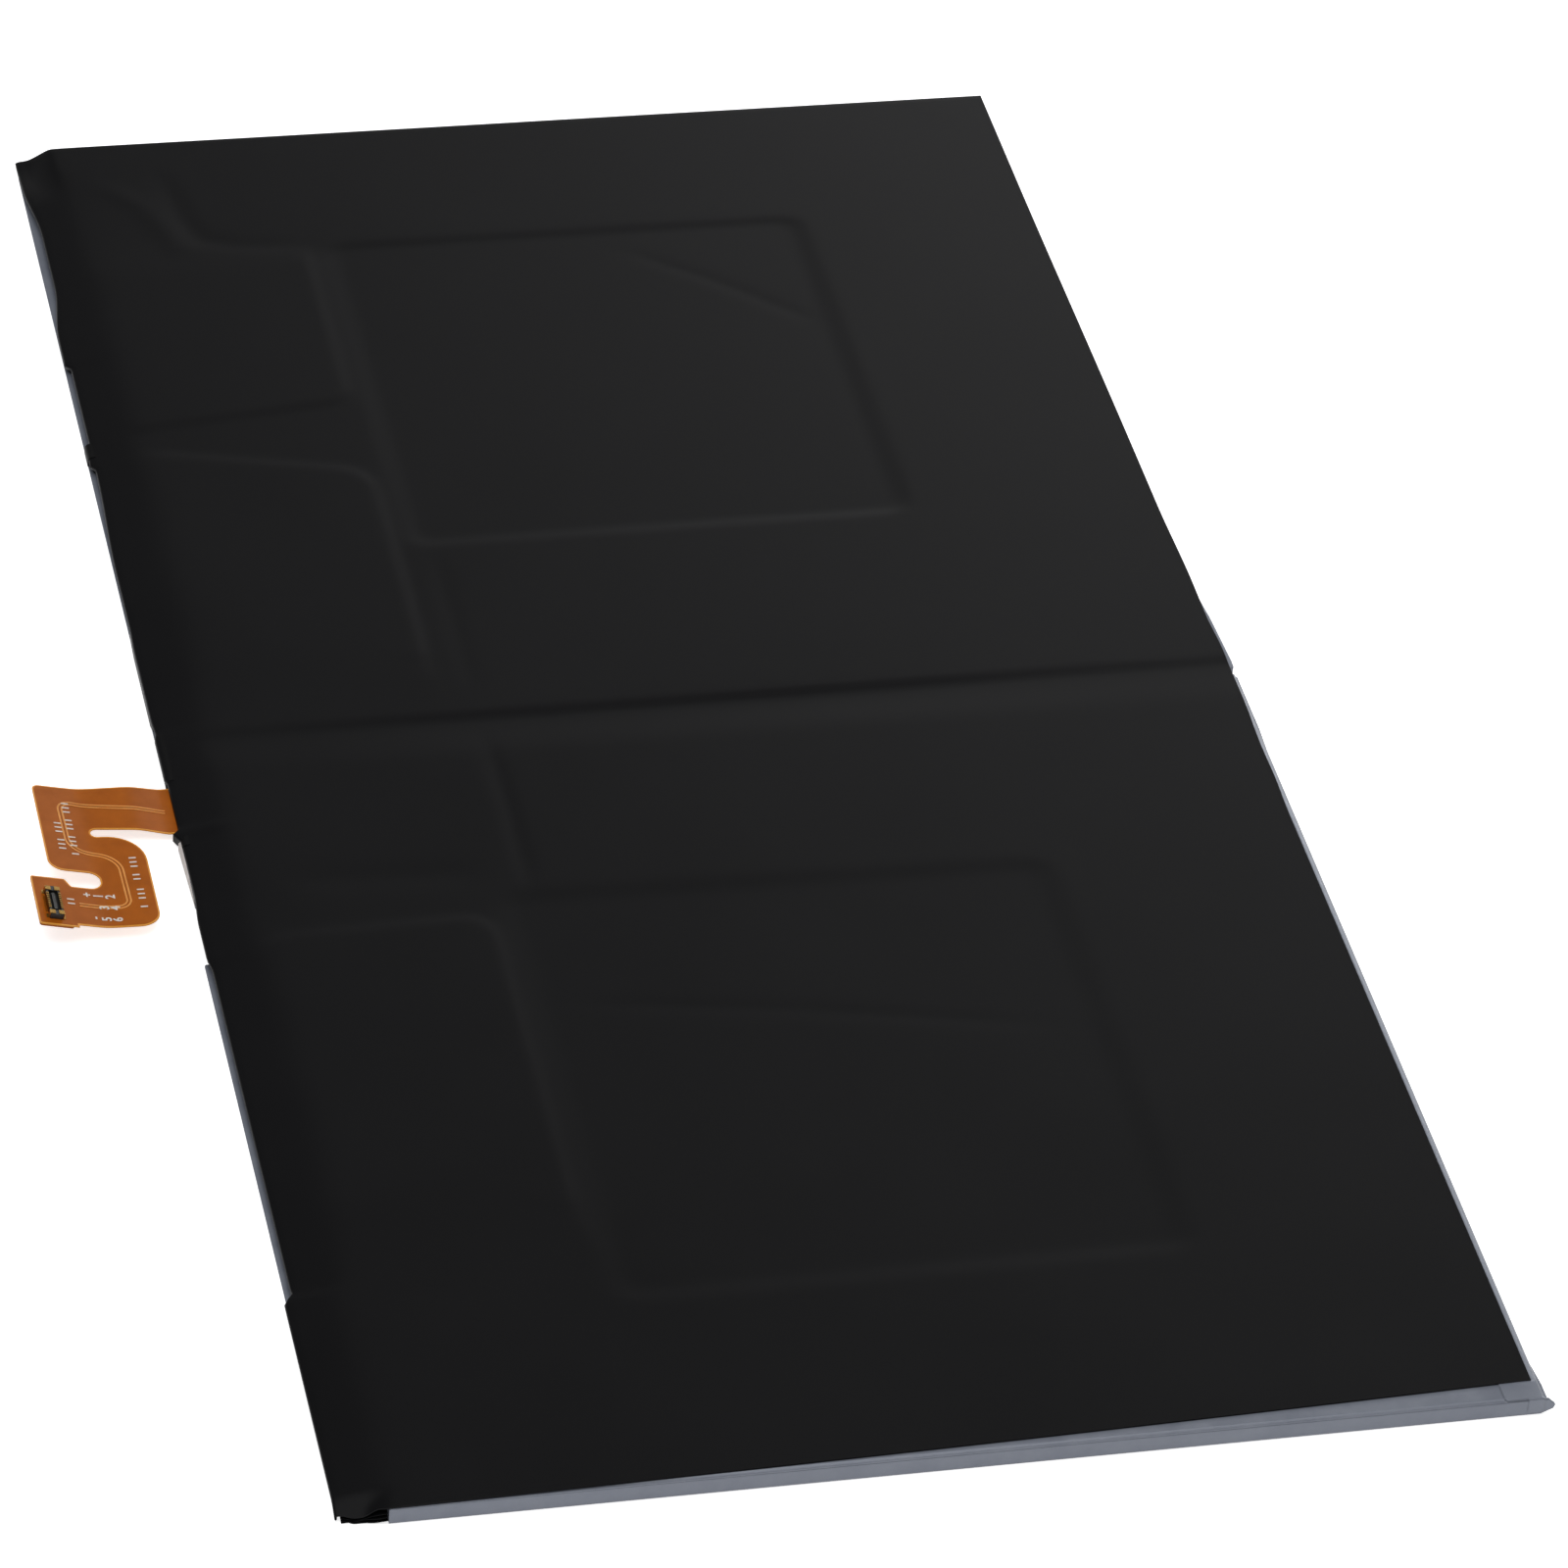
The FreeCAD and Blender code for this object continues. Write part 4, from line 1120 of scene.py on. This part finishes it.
@dataclass
class PrintedMarks:
    """Generic screen-printed marks on the circuit: plus, minus, figures and plain dashes.

    signs gives each sign with the place of its middle. dash_rows gives the middle of each
    row's first dash and how many places the row has, of which every fourth is left out.
    """

    flex: FlexCircuit
    sign_size: float = 1.47
    sign_swell: float = 0.03
    ink_rise: float = 0.05
    ink_thickness: float = 0.02
    signs: tuple[tuple[str, float, float], ...] = (
        ("+", -10.9, -23.8), ("1", -9.7, -23.9), ("2", -8.4, -24.0),
        ("3", -9.3, -25.9), ("4", -8.1, -26.0),
        ("-", -10.6, -27.8), ("5", -9.3, -27.9), ("6", -8.1, -28.0),
    )
    dash_rows: tuple[tuple[float, float, int], ...] = (
        (-12.5, -11.3, 8), (-11.2, -7.6, 13), (-5.1, -17.4, 6), (-5.0, -23.0, 5),
        (-12.9, -24.9, 2),
    )
    dash_size: Pair = (0.8, 0.22)
    dash_corner: float = 0.06
    dash_pitch: float = 0.75
    dash_group: int = 4

    def build(self) -> None:
        """Makes all marks as one piece of ink."""
        shape = bmesh.new()
        for text, x, y in self.signs:
            self.add_text(shape, text, x, y)
        for x, y, count in self.dash_rows:
            for number in range(count):
                if (number + 1) % self.dash_group:
                    self.add_dash(shape, x, y - number * self.dash_pitch)
        for vertex in shape.verts:
            vertex.co.z += self.flex.curve.top(vertex.co.x) + self.ink_rise
        make_piece("printed_marks", shape, INK)

    def add_text(self, shape: Shape, text: str, x: float, y: float) -> None:
        """Adds one generic sign or figure, turned to be read from the pack's right.

        Args:
            shape: Mesh that gets the mark.
            text: The sign.
            x: Its middle from the pack's left side.
            y: Its middle along the pack.
        """
        curve = bpy.data.curves.new("mark", "FONT")
        curve.body = text
        curve.size = self.sign_size
        curve.extrude = self.ink_thickness / 2
        curve.offset = self.sign_swell
        curve.align_x = "CENTER"
        curve.align_y = "CENTER"
        holder = bpy.data.objects.new("mark", curve)
        mesh = bpy.data.meshes.new_from_object(holder)
        turn = Matrix.Rotation(math.radians(90), 4, "Z")
        mesh.transform(Matrix.Translation((self.flex.left_side + x, y, 0)) @ turn)
        shape.from_mesh(mesh)
        bpy.data.objects.remove(holder)
        bpy.data.curves.remove(curve)
        bpy.data.meshes.remove(mesh)

    def add_dash(self, shape: Shape, x: float, y: float) -> None:
        """Adds one plain dash with softened corners.

        Args:
            shape: Mesh that gets the mark.
            x: Its middle from the pack's left side.
            y: Its middle along the pack.
        """
        width, height = self.dash_size
        place = Matrix.Translation((self.flex.left_side + x, y, 0))
        scale = Matrix.Diagonal((width, height, self.ink_thickness, 1))
        made = bmesh.ops.create_cube(shape, size=1.0, matrix=place @ scale)
        upright = {e for v in made["verts"] for e in v.link_edges
                   if abs(e.verts[0].co.z - e.verts[1].co.z) > 0.5 * self.ink_thickness}
        round_off(shape, list(upright), self.dash_corner, 2, "EDGES")


@dataclass(frozen=True)
class Lamp:
    """Soft rectangular lamp, with lengths in millimetres and its power in watts."""

    name: str
    place: Triple
    target: Triple
    size: Pair
    power: float

    def build(self) -> None:
        """Adds the lamp to the scene."""
        light = bpy.data.lights.new(self.name, "AREA")
        light.shape = "RECTANGLE"
        light.size, light.size_y = (side * MM for side in self.size)
        light.energy = self.power
        aim(add_object(self.name, light), self.place, self.target)


@dataclass
class Studio:
    """Pale floor, soft lamps and the camera that the photograph was taken with."""

    lamps: tuple[Lamp, ...] = (
        Lamp("key_softbox", (1030, 1750, 560), (0, 60, 0), (1200, 700), 9.6),
        Lamp("overhead_softbox", (-200, -150, 1500), (0, 0, 0), (1400, 1400), 13.5),
    )
    camera_place: Triple = (-169.47, -668.69, 518.49)
    camera_target: Triple = (6.70, -13.39, 2.0)
    camera_roll: float = 4.89
    focal_pixels: float = 7799.9
    frame_pixels: float = 1600.0
    sensor: float = 36.0
    clip: Pair = (10.0, 20000.0)
    floor_size: float = 6000.0
    floor_drop: float = 0.02
    floor_glow: float = 0.7
    floor_colour: str = "#f7f7f8"
    world_colour: str = "#ffffff"
    world_strength: float = 0.3

    def build(self) -> None:
        """Makes the floor, the lamps and the camera."""
        self.floor()
        self.world()
        for lamp in self.lamps:
            lamp.build()
        self.camera()
        bpy.context.scene.view_settings.view_transform = "Standard"

    def floor(self) -> None:
        """Makes the floor, white to the camera's eye but keeping the pack's shadow."""
        shape = bmesh.new()
        bmesh.ops.create_grid(shape, x_segments=1, y_segments=1,
                              size=self.floor_size * MM / 2)
        mesh = bpy.data.meshes.new("studio_floor")
        shape.to_mesh(mesh)
        shape.free()
        material = bpy.data.materials.new("matt_white_floor")
        tree = empty_tree(material)
        rays = add_node(tree, "ShaderNodeLightPath")
        seen = rays.outputs["Is Camera Ray"]
        for kind in ("Is Glossy Ray", "Is Transmission Ray"):
            either = add_node(tree, "ShaderNodeMath", {0: seen, 1: rays.outputs[kind]},
                              operation="MAXIMUM")
            seen = either.outputs[0]
        glow = add_node(tree, "ShaderNodeMath", {0: seen, 1: self.floor_glow},
                        operation="MULTIPLY")
        shader = add_node(tree, "ShaderNodeBsdfPrincipled", {
            "Base Color": linear(self.floor_colour), "Roughness": 0.9,
            "Specular IOR Level": 0.0, "Emission Color": (1, 1, 1, 1),
            "Emission Strength": glow.outputs[0],
        })
        add_node(tree, "ShaderNodeOutputMaterial", {"Surface": shader.outputs["BSDF"]})
        mesh.materials.append(material)
        plane = add_object("studio_floor", mesh)
        plane.location.z = -self.floor_drop * MM

    def world(self) -> None:
        """Lights the room with an even, low white."""
        world = bpy.data.worlds.new("studio")
        tree = empty_tree(world)
        sky = add_node(tree, "ShaderNodeBackground", {
            "Color": linear(self.world_colour), "Strength": self.world_strength,
        })
        add_node(tree, "ShaderNodeOutputWorld", {"Surface": sky.outputs["Background"]})
        bpy.context.scene.world = world

    def camera(self) -> None:
        """Places the camera where the pack's corners fall as in the photograph."""
        data = bpy.data.cameras.new("camera")
        data.sensor_fit = "HORIZONTAL"
        data.sensor_width = self.sensor
        data.lens = self.focal_pixels / self.frame_pixels * self.sensor
        data.clip_start, data.clip_end = (end * MM for end in self.clip)
        camera = add_object("camera", data)
        aim(camera, self.camera_place, self.camera_target, self.camera_roll)
        bpy.context.scene.camera = camera


def main() -> None:
    """Builds the sub-assemblies in order, then the studio."""
    logging.basicConfig(level=logging.INFO, format="%(name)s: %(message)s")
    POUCHES.dress()
    PROTECTION_BOARD.dress()
    FrontFilm().build()
    NearPleat().build()
    PaintedLipHighlight().build()
    flex = FlexCircuit()
    flex.build()
    PrintedMarks(flex).build()
    PLUG.dress()
    Studio().build()


if __name__ == "__main__":
    main()
